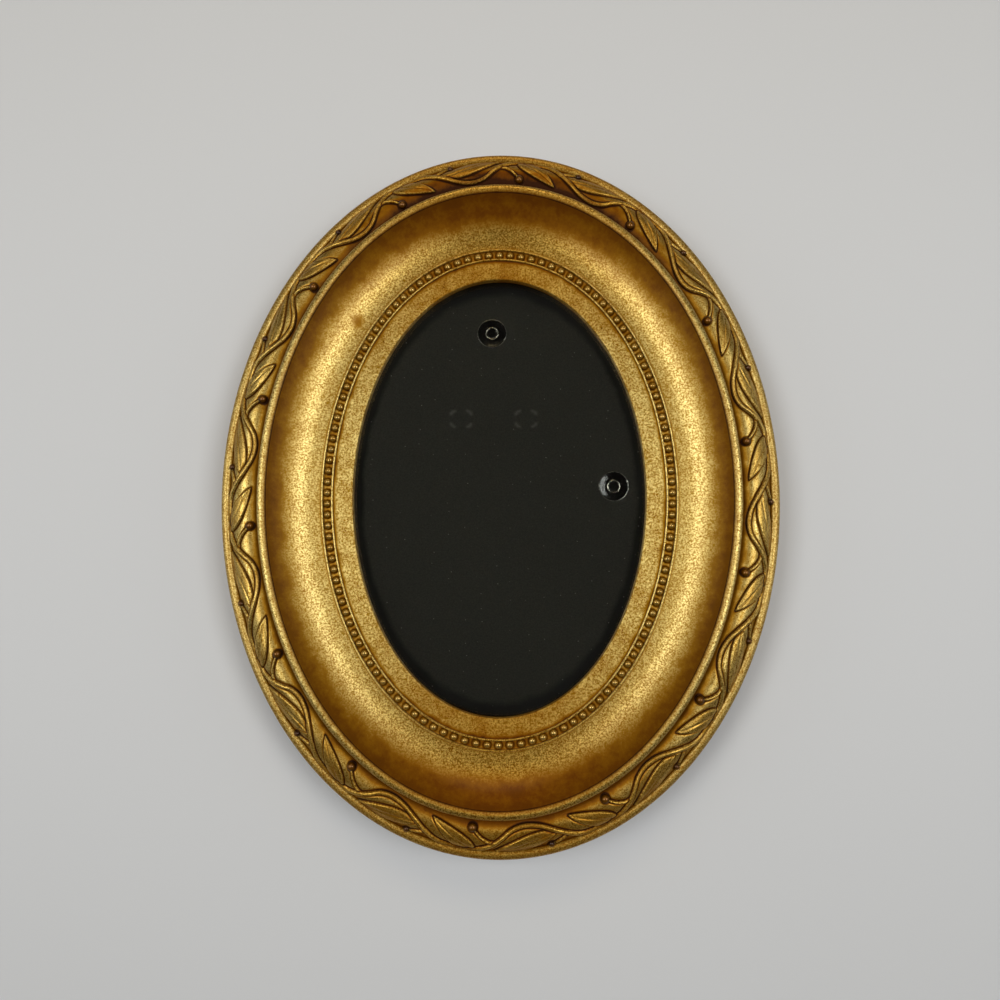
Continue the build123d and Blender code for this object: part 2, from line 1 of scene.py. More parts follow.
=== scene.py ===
"""Oval gilded picture frame: the looks of its moulding, glass, easel back and hangers.

Every surface point of the moulding runs round its own ellipse, so a band of it is a section of
(depth, level) points carried round the oval. Depth is measured inwards from the outline and level
upwards from the table, both in millimetres; meshes are in metres.
"""

import math

import bpy
import numpy as np
from mathutils import Matrix, Vector


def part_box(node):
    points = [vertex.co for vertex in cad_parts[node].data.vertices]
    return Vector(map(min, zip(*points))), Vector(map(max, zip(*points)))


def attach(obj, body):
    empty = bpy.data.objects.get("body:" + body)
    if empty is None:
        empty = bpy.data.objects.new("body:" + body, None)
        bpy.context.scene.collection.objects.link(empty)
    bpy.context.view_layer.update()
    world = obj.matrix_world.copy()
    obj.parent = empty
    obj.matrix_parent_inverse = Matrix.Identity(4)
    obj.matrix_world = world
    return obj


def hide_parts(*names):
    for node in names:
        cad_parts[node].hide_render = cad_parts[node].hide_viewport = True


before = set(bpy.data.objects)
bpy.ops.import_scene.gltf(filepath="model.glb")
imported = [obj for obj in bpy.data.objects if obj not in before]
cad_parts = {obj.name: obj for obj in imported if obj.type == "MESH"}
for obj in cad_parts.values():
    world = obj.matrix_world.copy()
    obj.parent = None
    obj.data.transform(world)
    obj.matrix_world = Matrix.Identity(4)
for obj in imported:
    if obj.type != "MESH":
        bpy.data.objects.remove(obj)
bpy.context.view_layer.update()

MM = 0.001
MAIN_BODY = "frame"

# Outline of the moulding and top of the paper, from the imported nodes
moulding_low, moulding_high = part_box("moulding")
HALF_WIDTH = (moulding_high.x - moulding_low.x) / 2 / MM
HALF_HEIGHT = (moulding_high.y - moulding_low.y) / 2 / MM
PAPER_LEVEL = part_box("facing_paper")[1].z / MM

# Bands of the face, from the rim inwards, and their levels
VINE_START = 3.4
VINE_WIDTH = 9.9
RIDGE_WIDTH = 4.3
SCOOP_WIDTH = 16.0
PEARL_BAND_WIDTH = 4.2
SIGHT_BAND_WIDTH = 6.65
VINE_END = VINE_START + VINE_WIDTH
RIDGE_END = VINE_END + RIDGE_WIDTH
SCOOP_END = RIDGE_END + SCOOP_WIDTH
PEARL_BAND_END = SCOOP_END + PEARL_BAND_WIDTH
SIGHT_DEPTH = PEARL_BAND_END + SIGHT_BAND_WIDTH
RIM_LEVEL = 18.7
VINE_LEVEL = 21.7
RIDGE_GROOVE_LEVEL = 20.6
RIDGE_LEVEL = 25.0
SCOOP_FOOT_LEVEL = 15.0
INNER_STRIP_LEVEL = SCOOP_FOOT_LEVEL - 0.1
CHANNEL_LEVEL = 14.0
SIGHT_LEVEL = 14.0
SIGHT_BAND_RISE = 0.6
SIGHT_NOSE = 0.5
LIP_LEVEL = 11.4
RIM_RADIUS = 1.75
RIDGE_RADIUS = 1.7
SCOOP_DROP = 2.2
STRIP_WIDTH = 0.7
BAND_STEPS = 900
ELLIPSE_STEPS = 8000
WALL_REACH = 0.965
BACK_LEVEL = LIP_LEVEL + 1.2

# Ornament
VINE_REPEATS = 14
VINE_PHASE = -0.097
VINE_DRIFT = 0.0037
VINE_DRIFT_AT = 0.47
VINE_MIDDLE = VINE_START + VINE_WIDTH / 2
PEARL_COUNT = 120
PEARL_RADIUS = 1.5
PEARL_DEPTH = SCOOP_END + PEARL_BAND_WIDTH / 2
CHANNEL_STEPS = 14

# Colours of the gilding, from bare leaf to solid glaze, then the pale of wear and of painted glints, and
# the warm tint of the painted shade at the two ends of the oval and of the leaves
LEAF_SHADE = "#806018"
LEAF_LIGHT = "#E6D288"
AMBER_GLAZE = "#946A08"
DEEP_GLAZE = "#744800"
UMBER_GLAZE = "#341A04"
PALE_WEAR_AND_GLINT = "#E8D080"
END_SHADE_AND_LEAF_TINT = "#FFE8AE"

# Glaze on each place, from 0 for bare leaf to 1 for solid umber, and how far it is worn off. Some values
# paint shade rather than glaze: at the two ends of the oval and round the foot of each pearl, and
# together with the glaze in the vine's cut lines and on the steep upper scoop
RIM_GLAZE = 0.17
RIM_FOOT_GLAZE = 0.6
VINE_GLAZE = 0.05
VINE_OUTER_GLAZE = 0.3
VINE_INNER_GLAZE = 0.42
VINE_LINE_GLAZE_AND_SHADE = 0.8
VINE_TOP_SHADE = 0.55
VINE_END_SHADE = 0.16
LEAF_WARMTH = 0.4
BERRY_GLAZE = (0.62, 0.95)
RIDGE_FLANK_GLAZE = 0.6
RIDGE_INNER_GLAZE = 0.4
RIDGE_WEAR = 0.3
SCOOP_GLAZE_AND_SHADE = 0.62
SCOOP_EDGE_GLAZE = 0.35
SCOOP_FOOT_GLAZE = 0.16
SCOOP_END_SHADE = 0.28
CHANNEL_GLAZE = 0.3
PEARL_FOOT_SHADE = 0.35
PEARL_GLAZE = (0.3, 0.66)
STRIP_WEAR = 0.7
SIGHT_GLAZE = 0.1
SIGHT_END_SHADE = 0.1
SIGHT_EDGE_GLAZE = 0.5
SIGHT_WALL_GLAZE = 0.12
WALL_GLAZE = 0.2
WALL_FOOT_DARKENING = 0.5

# Smudge worn into the leaf of the scoop, up on the left
SMUDGE_GLAZE = 0.36
SMUDGE_TURN = math.radians(138.8)
SMUDGE_REACH = 72.0
SMUDGE_DOWN = 14.2
SMUDGE_SIZE = 2.4

# Eyelets of the hangers: rivet with its flare as (radius, depth under the paper), and dished washer
EYELET_RIM_RADIUS = 2.1
EYELET_ROLL = 0.25
EYELET_FLARE = ((1.66, 0.3), (1.5, 0.7), (1.36, 1.2))
EYELET_WEAR_RADIUS = 1.7
BORE_RADIUS = 1.1
WEB_RADIUS = 0.02
WEB_DEPTH = 0.9
WEB_THICKNESS = 0.3
SHANK_RADIUS = 1.6
HEAD_ROUND = 0.4
HEAD_THICKNESS = 0.8
FLANGE_RADIUS = 5.25
FLANGE_LIFT = 0.01
FLANGE_EDGE = 0.12
FLANGE_DISH = 0.26
FLANGE_DISH_RADIUS = 2.3
FLANGE_SKIRT = 0.5
FLANGE_WEAR = 0.75

# Marks of the clinched rivets in the paper
CLINCH_SPREAD = (8.0, 6.5)
CLINCH_PATCH = (6.5, 5.5)
CLINCH_RISE = 0.2

# Camera, fitted to the ellipses of the frame in the photograph
CAMERA_PLACE = (5.28 * MM, -27.87 * MM, 272.1 * MM)
CAMERA_PITCH = math.radians(-5.61)
CAMERA_ROLL = math.radians(-1.09)
CAMERA_LENS = 27.04
CAMERA_SENSOR = 36.0
CAMERA_NEAR = 5 * MM

# Floor, a hair below the back so that the two are never in one plane
FLOOR_REACH = 2.0
FLOOR_LEVEL = -0.2 * MM
FLOOR_COLOUR = "#DADEE4"

# Lights, in metres and watts: name, place, size, power and colour; each faces the middle of the frame
STUDIO_WHITE = (1.0, 0.985, 0.95)
LAMP_AMBER = (1.0, 0.78, 0.46)
LIGHTS = (
    ("left_softbox", (-0.33, 0.02, 0.64), (0.36, 0.25), 1.8, STUDIO_WHITE),
    ("left_panel", (-0.75, 0, 0.38), (0.6, 0.4), 0.6, STUDIO_WHITE),
    ("right_panel", (0.75, 0, 0.38), (0.6, 0.4), 0.6, STUDIO_WHITE),
    ("far_softbox", (0, 0.65, 0.70), (0.45, 0.30), 1.2, LAMP_AMBER),
    ("back_fill", (0, 0, -0.8), (0.8, 0.8), 6.0, STUDIO_WHITE),
    ("right_softbox", (0.33, 0.02, 0.64), (0.36, 0.25), 1.8, STUDIO_WHITE),
)
SKY_COLOUR = (1.0, 0.90, 0.74, 1.0)
SKY_STRENGTH = 0.09
ZENITH_STRENGTH = 0.02


# Camera and light

def make_camera():
    """Camera at the place and turn that the photograph was taken from."""
    data = bpy.data.cameras.new("photo_camera")
    data.sensor_width = CAMERA_SENSOR
    data.lens = CAMERA_LENS
    data.clip_start = CAMERA_NEAR
    camera = bpy.data.objects.new("photo_camera", data)
    bpy.context.scene.collection.objects.link(camera)
    to_camera = Matrix.Rotation(CAMERA_ROLL, 3, "Y") @ Matrix.Rotation(CAMERA_PITCH, 3, "X")
    camera.matrix_world = Matrix.Translation(CAMERA_PLACE) @ to_camera.transposed().to_4x4()
    bpy.context.scene.camera = camera


def area_light(name, place, size, power, colour):
    """Rectangular soft light at a place, turned towards the middle of the frame."""
    data = bpy.data.lights.new(name, "AREA")
    data.shape = "RECTANGLE"
    data.size, data.size_y = size
    data.energy = power
    data.color = colour
    light = bpy.data.objects.new(name, data)
    bpy.context.scene.collection.objects.link(light)
    light.location = place
    light.rotation_euler = (-Vector(place)).to_track_quat("-Z", "Y").to_euler()


# Materials and nodes

def linear(hex_colour):
    """sRGB hex colour as linear RGBA."""
    channels = [int(hex_colour[i : i + 2], 16) / 255 for i in (1, 3, 5)]
    return [c / 12.92 if c <= 0.04045 else ((c + 0.055) / 1.055) ** 2.4 for c in channels] + [1.0]


def add_node(tree, kind, inputs=None, **settings):
    """Adds a node, applies its settings, and sets or links its inputs by name or number.

    A node given as an input stands for its first output. Inputs 0, 6 and 7 of a colour Mix node are
    its share and its two colours, and its output 2 is the mixed colour.
    """
    made = tree.nodes.new(kind)
    for key, value in settings.items():
        setattr(made, key, value)
    for key, value in (inputs or {}).items():
        if isinstance(value, bpy.types.Node):
            value = value.outputs[0]
        if isinstance(value, bpy.types.NodeSocket):
            tree.links.new(value, made.inputs[key])
        else:
            made.inputs[key].default_value = value
    return made


def new_material(name):
    """Empty node material and its tree."""
    material = bpy.data.materials.new(name)
    material.use_nodes = True
    material.node_tree.nodes.clear()
    return material, material.node_tree


def finish_material(material, tree, inputs):
    """Principled shader with the inputs given, joined to the output."""
    shader = add_node(tree, "ShaderNodeBsdfPrincipled", inputs)
    add_node(tree, "ShaderNodeOutputMaterial", {"Surface": shader})
    return material


# Mesh making

def oval_points(depth, level, turn):
    """Points (half size less depth, times cosine and sine of the turn, at the level), in metres."""
    x = (HALF_WIDTH - depth) * np.cos(turn)
    y = (HALF_HEIGHT - depth) * np.sin(turn)
    return np.stack([x, y, np.broadcast_to(level, x.shape)], -1) * MM


def set_mark(mesh, key, values):
    """Named float attribute on a mesh's points."""
    attribute = mesh.attributes.new(key, "FLOAT", "POINT")
    attribute.data.foreach_set("value", np.asarray(values).reshape(-1).astype(np.float32))


def add_piece(name, mesh):
    """Object of a finished mesh, at the origin and riding on the main body."""
    piece = bpy.data.objects.new(name, mesh)
    bpy.context.scene.collection.objects.link(piece)
    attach(piece, MAIN_BODY)
    return piece


def as_gilding(piece):
    """Hides the imported moulding node, which the gilded pieces stand in for."""
    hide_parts("moulding")


def grid_mesh(name, points, uv, marks, closed):
    """Piece from a grid of points (around, across, 3); closed joins the last row to the first.

    uv gives each grid corner's place in metres along and across, with one more row where closed.
    marks are named float attributes on the grid.
    """
    around, across = points.shape[:2]
    rows = around if closed else around - 1
    first = np.arange(rows)[:, None] * across + np.arange(across - 1)[None, :]
    second = ((np.arange(rows) + 1) % around)[:, None] * across + np.arange(across - 1)[None, :]
    quads = np.stack([first, first + 1, second + 1, second], -1).reshape(-1, 4)
    mesh = bpy.data.meshes.new(name)
    mesh.from_pydata(points.reshape(-1, 3), [], quads.tolist())
    mesh.polygons.foreach_set("use_smooth", np.ones(len(quads), bool))
    corner_uv = np.stack([uv[:-1, :-1], uv[:-1, 1:], uv[1:, 1:], uv[1:, :-1]], 2)
    layer = mesh.uv_layers.new(name="along")
    layer.data.foreach_set("uv", corner_uv.reshape(-1).astype(np.float32))
    for key, values in marks.items():
        set_mark(mesh, key, np.broadcast_to(values, (around, across)))
    mesh.update()
    return add_piece(name, mesh)


def ramp(value, low, high):
    """Smooth step from 0 at low to 1 at high."""
    share = np.clip((value - low) / (high - low), 0, 1)
    return share * share * (3 - 2 * share)


def arc(centre, radius, start, end, count):
    """Points on a circle of the section from one angle to another, in degrees."""
    angle = np.radians(np.linspace(start, end, count))
    return np.stack([centre[0] + radius * np.cos(angle), centre[1] + radius * np.sin(angle)], -1)


def circle_through(first, second, third):
    """Centre and radius of the circle through three section points."""
    (ax, ay), (bx, by), (cx, cy) = first, second, third
    twice = 2 * np.array([[bx - ax, by - ay], [cx - ax, cy - ay]])
    known = np.array([bx**2 + by**2 - ax**2 - ay**2, cx**2 + cy**2 - ax**2 - ay**2])
    centre = np.linalg.solve(twice, known)
    return centre, math.hypot(ax - centre[0], ay - centre[1])


def even_turns(depth, count, phase=0.0, drift=0.0):
    """Turns at even spacing along the ellipse at a depth, clockwise from the right of the picture.

    drift moves them along by a cosine of the share of the oval that is passed.
    """
    fine = np.linspace(0, 2 * np.pi, ELLIPSE_STEPS + 1)
    step = np.hypot((HALF_WIDTH - depth) * np.sin(fine), (HALF_HEIGHT - depth) * np.cos(fine))
    length = np.concatenate([[0], np.cumsum((step[1:] + step[:-1]) / 2 * (fine[1] - fine[0]))])
    share = np.arange(count) / count + phase
    share = (share + drift * np.cos(2 * np.pi * (share - VINE_DRIFT_AT))) % 1.0
    turns = np.interp(share * length[-1], length, fine)
    return -turns, length[-1]


def band_places(along, across):
    """Places of a grid's corners along and across its band, in metres."""
    return np.stack(np.broadcast_arrays(along, across), -1) * MM


def section_lengths(section):
    """Length passed along a section at each of its points, in millimetres."""
    steps = np.hypot(*np.diff(section, axis=0).T)
    return np.concatenate([[0], np.cumsum(steps)])


def end_shade_share(turns):
    """Share from 0 at the two sides of the oval to 1 at its two ends, the sine's fourth power: it places
    the painted shade of the ends, where the light from the sides falls less.
    """
    return np.sin(turns)[:, None] ** 4


def ring_band(name, section, count, patina, wear_and_glint, material, sharp=35.0):
    """Band of the moulding: the section carried round the oval at even spacing on its middle ellipse."""
    turns, length = even_turns((section[0, 0] + section[-1, 0]) / 2, count)
    points = oval_points(section[None, :, 0], section[None, :, 1], turns[:, None])
    uv = band_places(np.linspace(0, length, count + 1)[:, None], section_lengths(section))
    # The third mark places painted shade, darker and warmer, at the two ends of the oval
    marks = {"patina": patina, "wear_and_glint": wear_and_glint, "end_shade_and_warmth": end_shade_share(turns)}
    piece = grid_mesh(name, points, uv, marks, closed=True)
    piece.data.set_sharp_from_angle(angle=math.radians(sharp))
    piece.data.materials.append(material)
    as_gilding(piece)


# Finishes

def gilded_resin(name, grain, grain_depth, roughness, brushed, lacquer,
                 cloud_share, pit_share, rag_share, glaze_most=1.0):
    """Cast resin, gold leafed and rubbed with amber and umber glaze: warm metal with a glittering grain,
    cloudy, dark where glaze or painted shade is marked, with feathery edges to the glaze, pale on worn
    edges and on painted glints, and darker and warmer at the two ends of the oval by painted shade.

    grain is the size of the leaf's wrinkles in millimetres, coarser than real ones so that they show,
    and grain_depth their height. brushed is how much more the leaf scatters across the band than along
    it, since it was rubbed along it, and lacquer the weight of the clear coat. cloud_share is how much
    glaze lies in broad clouds and pit_share how much in small pits. rag_share is how far the rag
    feathers the glaze of the patina mark, and glaze_most the most of it that is left.
    """
    material, tree = new_material(name)
    place = add_node(tree, "ShaderNodeTexCoord").outputs["Object"]
    band = add_node(tree, "ShaderNodeUVMap", uv_map="along")
    patina = add_node(tree, "ShaderNodeAttribute", attribute_name="patina").outputs["Fac"]
    wear_and_glint = add_node(tree, "ShaderNodeAttribute", attribute_name="wear_and_glint").outputs["Fac"]
    # Clouds of glaze of about 6 mm, wrinkles of the leaf, and pits of about 0.5 mm
    cloud = add_node(tree, "ShaderNodeTexNoise", {
        "Vector": place, "Scale": 1 / (6 * MM), "Detail": 5.0, "Roughness": 0.7})
    wrinkle = add_node(tree, "ShaderNodeTexNoise", {
        "Vector": place, "Scale": 1 / (grain * MM), "Detail": 4.0, "Roughness": 0.72})
    pit = add_node(tree, "ShaderNodeTexNoise", {
        "Vector": place, "Scale": 1 / (0.5 * MM), "Detail": 2.0, "Roughness": 0.6})
    cloud_dark = add_node(tree, "ShaderNodeMapRange", {
        "Value": cloud, "From Min": 0.45, "From Max": 0.75, "To Max": cloud_share})
    pit_dark = add_node(tree, "ShaderNodeMapRange", {
        "Value": pit, "From Min": 0.54, "From Max": 0.66, "To Max": pit_share})
    # Rag marks of about 1.5 mm, and the clouds, that feather the glaze
    rag_lay = add_node(tree, "ShaderNodeMapping", {
        "Vector": band, "Scale": (1 / (1.2 * MM), 1 / (1.6 * MM), 1.0)})
    rag = add_node(tree, "ShaderNodeTexNoise", {
        "Vector": rag_lay, "Scale": 1.0, "Detail": 5.0, "Roughness": 0.75})
    rag = add_node(tree, "ShaderNodeMix", {0: 0.5, 2: rag, 3: cloud})
    feather = add_node(tree, "ShaderNodeMapRange", {
        "Value": rag, "From Min": 0.36, "From Max": 0.64,
        "To Min": 1 - rag_share, "To Max": 1 + rag_share})
    glaze = add_node(tree, "ShaderNodeMath", {0: patina, 1: feather}, operation="MULTIPLY")
    glaze = add_node(tree, "ShaderNodeMath", {0: glaze, 1: glaze_most}, operation="MINIMUM")
    # Pits show in patches, and only where the leaf is bare of glaze
    patch = add_node(tree, "ShaderNodeMapRange", {
        "Value": cloud, "From Min": 0.35, "From Max": 0.6, "To Min": 0.35, "To Max": 1.0})
    bare = add_node(tree, "ShaderNodeMapRange", {
        "Value": patina, "From Max": 0.4, "To Min": 1.0, "To Max": 0.0})
    pit_room = add_node(tree, "ShaderNodeMath", {0: patch, 1: bare}, operation="MULTIPLY")
    pit_dark = add_node(tree, "ShaderNodeMath", {0: pit_dark, 1: pit_room}, operation="MULTIPLY")
    dark = add_node(tree, "ShaderNodeMath", {0: cloud_dark, 1: pit_dark}, operation="ADD")
    dark = add_node(tree, "ShaderNodeMath", {0: dark, 1: glaze}, operation="ADD", use_clamp=True)
    # Leaf, then amber, deep amber and umber as the glaze and painted shade deepen, and pale worn leaf
    # and painted glints on top
    glint = add_node(tree, "ShaderNodeMapRange", {
        "Value": wrinkle, "From Min": 0.42, "From Max": 0.58})
    colour = add_node(tree, "ShaderNodeMix", {
        0: glint, 6: linear(LEAF_SHADE), 7: linear(LEAF_LIGHT)}, data_type="RGBA")
    amber_share = add_node(tree, "ShaderNodeMath", {
        0: dark, 1: 2.1}, operation="MULTIPLY", use_clamp=True)
    deep_share = add_node(tree, "ShaderNodeMapRange", {
        "Value": dark, "From Min": 0.38, "From Max": 0.62})
    umber_share = add_node(tree, "ShaderNodeMapRange", {
        "Value": dark, "From Min": 0.62, "From Max": 1.0})
    worn = add_node(tree, "ShaderNodeMath", {
        0: wear_and_glint, 1: glint}, operation="MULTIPLY", use_clamp=True)
    shares = (amber_share, deep_share, umber_share, worn)
    for share, coat in zip(shares, (AMBER_GLAZE, DEEP_GLAZE, UMBER_GLAZE, PALE_WEAR_AND_GLINT)):
        colour = add_node(tree, "ShaderNodeMix", {
            0: share, 6: colour.outputs[2], 7: linear(coat)}, data_type="RGBA")
    # Painted shade: the colour is warmed and darkened at the two ends of the oval, where the light from
    # the sides falls less, and the raised leaves are warmed as their own tone
    end_shade_and_warmth = add_node(tree, "ShaderNodeAttribute", attribute_name="end_shade_and_warmth").outputs["Fac"]
    colour = add_node(tree, "ShaderNodeMix", {
        0: end_shade_and_warmth, 6: colour.outputs[2], 7: linear(END_SHADE_AND_LEAF_TINT)},
        data_type="RGBA", blend_type="MULTIPLY")
    metal = add_node(tree, "ShaderNodeMapRange", {
        "Value": amber_share, "To Min": 1.0, "To Max": 0.5})
    rough = add_node(tree, "ShaderNodeMapRange", {
        "Value": dark, "To Min": roughness, "To Max": roughness + 0.2})
    bump = add_node(tree, "ShaderNodeBump", {
        "Height": wrinkle, "Strength": 1.0, "Distance": grain_depth * MM})
    along = add_node(tree, "ShaderNodeTangent", direction_type="UV_MAP", uv_map="along")
    return finish_material(material, tree, {
        "Base Color": colour.outputs[2],
        "Metallic": metal,
        "Roughness": rough,
        "Specular IOR Level": 0.12,
        "Coat Weight": lacquer,
        "Coat Roughness": 0.22,
        "Anisotropic": brushed,
        "Anisotropic Rotation": 0.25,
        "Tangent": along,
        "Normal": bump,
    })


def worn_enamel():
    """Black stoved enamel on pressed steel: smooth and glossy, worn to bright metal on raised rims,
    and dull where the worn mark is negative, inside a bore."""
    material, tree = new_material("black_enamelled_steel")
    worn = add_node(tree, "ShaderNodeAttribute", attribute_name="worn").outputs["Fac"]
    place = add_node(tree, "ShaderNodeTexCoord").outputs["Object"]
    scuff = add_node(tree, "ShaderNodeTexNoise", {
        "Vector": place, "Scale": 1 / (0.5 * MM), "Detail": 3.0})
    bare = add_node(tree, "ShaderNodeMath", {0: worn, 1: scuff}, operation="MULTIPLY")
    bare = add_node(tree, "ShaderNodeMapRange", {"Value": bare, "From Min": 0.2, "From Max": 0.5})
    colour = add_node(tree, "ShaderNodeMix", {
        0: bare, 6: linear("#050504"), 7: linear("#B9B5AA")}, data_type="RGBA")
    rough = add_node(tree, "ShaderNodeMapRange", {
        "Value": scuff, "From Min": 0.3, "From Max": 0.7, "To Min": 0.08, "To Max": 0.16})
    dull = add_node(tree, "ShaderNodeMath", {0: worn, 1: -0.7, 2: rough}, operation="MULTIPLY_ADD")
    rough = add_node(tree, "ShaderNodeMath", {0: dull, 1: rough}, operation="MAXIMUM")
    return finish_material(material, tree, {
        "Base Color": colour.outputs[2],
        "Metallic": bare,
        "Roughness": rough,
    })


def plain_finish(name, pale, deep, patch, grain, grain_depth, roughness, metallic):
    """Even finish whose colour drifts between two shades in patches, with a fine grain; sizes in
    millimetres."""
    material, tree = new_material(name)
    place = add_node(tree, "ShaderNodeTexCoord").outputs["Object"]
    drift = add_node(tree, "ShaderNodeTexNoise", {
        "Vector": place, "Scale": 1 / (patch * MM), "Detail": 5.0, "Roughness": 0.6})
    tooth = add_node(tree, "ShaderNodeTexNoise", {
        "Vector": place, "Scale": 1 / (grain * MM), "Detail": 2.0})
    share = add_node(tree, "ShaderNodeMapRange", {
        "Value": drift, "From Min": 0.35, "From Max": 0.65})
    colour = add_node(tree, "ShaderNodeMix", {
        0: share, 6: linear(deep), 7: linear(pale)}, data_type="RGBA")
    rough = add_node(tree, "ShaderNodeMapRange", {
        "Value": drift, "From Min": 0.3, "From Max": 0.7,
        "To Min": roughness - 0.06, "To Max": roughness + 0.08})
    bump = add_node(tree, "ShaderNodeBump", {"Height": tooth, "Distance": grain_depth * MM})
    return finish_material(material, tree, {
        "Base Color": colour.outputs[2],
        "Metallic": metallic,
        "Roughness": rough,
        "Normal": bump,
    })


def dusty_paper():
    """Black kraft paper under old glass: dull and fibrous, greyed by a film of dust, with a painted
    shadow of the lip where the film stops a few millimetres short of it, a painted highlight where it is
    pressed up from behind, and single dust grains of about 0.3 mm."""
    material, tree = new_material("black_kraft_paper")
    pressed = add_node(tree, "ShaderNodeAttribute", attribute_name="pressed").outputs["Fac"]
    place = add_node(tree, "ShaderNodeTexCoord").outputs["Object"]
    fibre = add_node(tree, "ShaderNodeTexNoise", {
        "Vector": place, "Scale": 1 / (0.5 * MM), "Detail": 3.0, "Roughness": 0.6})
    cloud = add_node(tree, "ShaderNodeTexNoise", {
        "Vector": place, "Scale": 1 / (9 * MM), "Detail": 4.0, "Roughness": 0.6})
    # Share of the way from the middle to the sight edge, on the ellipse of the opening
    half_x = (HALF_WIDTH - SIGHT_DEPTH) * MM
    half_y = (HALF_HEIGHT - SIGHT_DEPTH) * MM
    stretch = add_node(tree, "ShaderNodeMapping", {
        "Vector": place, "Scale": (1 / half_x, 1 / half_y, 0.0)})
    reach = add_node(tree, "ShaderNodeVectorMath", {0: stretch}, operation="LENGTH")
    # Painted shadow of the lip: the grey dust film fades out a few millimetres in from the sight edge,
    # along a wandering line
    wander = add_node(tree, "ShaderNodeMath", {
        0: cloud, 1: 0.05, 2: reach.outputs["Value"]}, operation="MULTIPLY_ADD")
    dust_film_and_lip_shadow = add_node(tree, "ShaderNodeMapRange", {
        "Value": wander, "From Min": 0.955, "From Max": 0.985, "To Min": 1.0, "To Max": 0.0})
    # One grain or none in each cell of 5.5 mm
    grains = add_node(tree, "ShaderNodeTexVoronoi", {
        "Vector": place, "Scale": 1 / (5.5 * MM)}, voronoi_dimensions="2D")
    grain = add_node(tree, "ShaderNodeMapRange", {
        "Value": grains.outputs["Distance"], "From Min": 0.012, "From Max": 0.04,
        "To Min": 1.0, "To Max": 0.0})
    chance = add_node(tree, "ShaderNodeSeparateColor", {"Color": grains.outputs["Color"]})
    strength = add_node(tree, "ShaderNodeMapRange", {
        "Value": chance, "From Min": 0.5, "From Max": 1.0, "To Min": 0.0, "To Max": 0.8})
    grain = add_node(tree, "ShaderNodeMath", {0: grain, 1: strength}, operation="MULTIPLY")
    # Painted highlight on the pressed ridges, and the dust grains
    glint_and_dust_grains = add_node(tree, "ShaderNodeMath", {
        0: pressed, 1: 0.16, 2: grain}, operation="MULTIPLY_ADD", use_clamp=True)
    grey = add_node(tree, "ShaderNodeMath", {0: fibre, 1: dust_film_and_lip_shadow}, operation="MULTIPLY")
    colour = add_node(tree, "ShaderNodeMix", {
        0: grey, 6: linear("#0B0B09"), 7: linear("#3D3C35")}, data_type="RGBA")
    colour = add_node(tree, "ShaderNodeMix", {
        0: glint_and_dust_grains, 6: colour.outputs[2], 7: linear("#8C8C85")}, data_type="RGBA")
    bump = add_node(tree, "ShaderNodeBump", {"Height": fibre, "Distance": 0.01 * MM})
    return finish_material(material, tree, {
        "Base Color": colour.outputs[2],
        "Roughness": 0.6,
        "Specular IOR Level": 0.15,
        "Normal": bump,
    })


def picture_glass():
    """Clear float glass: smooth, colourless, refracting."""
    material, tree = new_material("float_glass")
    return finish_material(material, tree, {
        "Base Color": linear("#F7FAF8"),
        "Roughness": 0.0,
        "IOR": 1.52,
        "Transmission Weight": 1.0,
    })


# Running vine

# Middle lines, in shares of a repeat along and of the band across; sizes in millimetres
STEM = [(-0.16, 0.0), (-0.07, 0.02), (0.0, 0.07), (0.06, 0.19), (0.13, 0.38), (0.20, 0.57),
        (0.28, 0.74), (0.36, 0.82), (0.43, 0.81), (0.50, 0.70), (0.56, 0.48), (0.62, 0.27),
        (0.68, 0.12), (0.74, 0.04), (0.84, 0.0)]
STALK = [(0.575, 0.43), (0.60, 0.35), (0.645, 0.34), (0.70, 0.46), (0.742, 0.62), (0.765, 0.74)]
TWIG = [(0.09, 0.27), (0.14, 0.17), (0.19, 0.08), (0.22, 0.03)]
LEAF_RIB = [(0.745, 0.0), (0.80, 0.15), (0.88, 0.35), (0.98, 0.59), (1.07, 0.82)]
FROND_RIB = [(0.165, 0.47), (0.25, 0.42), (0.34, 0.34), (0.43, 0.23), (0.52, 0.12), (0.61, 0.02)]
STEM_HALF_WIDTH = 0.7
STEM_HEIGHT = 0.75
STALK_HALF_WIDTH = 0.5
STALK_HEIGHT = 0.65
STALK_TAPER = 0.15
TWIG_HALF_WIDTH = 0.45
TWIG_HEIGHT = 0.55
TWIG_TAPER = 0.2
LEAF_HALF_WIDTH = 2.35
LEAF_FULLEST = 0.85
FROND_HALF_WIDTH = 2.3
FROND_FULLEST = 0.9
LEAF_HEIGHT = 0.7
MIDRIB_CUT = 0.22
BERRIES = (((0.772, 0.78), 1.5), ((0.225, 0.05), 1.05))
BERRY_SEAT = 0.15
BERRY_LINE = 0.35
CUT_WIDTH = 0.42
CUT_DEPTH = 0.35
GRID_ALONG = 208
GRID_ACROSS = 72
VINE_PIECES = 4


def smooth_route(places, pitch, count=160):
    """Curve through (repeat, band) places, in millimetres along and across: a cubic between each two,
    whose slope at a place is that of the chord between its neighbours."""
    points = np.array(places) * [pitch, VINE_WIDTH]
    ends = np.vstack([2 * points[0] - points[1], points, 2 * points[-1] - points[-2]])
    at = np.linspace(0, len(points) - 1 - 1e-9, count)
    k = at.astype(int)
    f = (at - k)[:, None]
    a, b, c, d = ends[k], ends[k + 1], ends[k + 2], ends[k + 3]
    square = 2 * a - 5 * b + 4 * c - d
    cube = 3 * b - a - 3 * c + d
    return 0.5 * (2 * b + (c - a) * f + square * f**2 + cube * f**3)


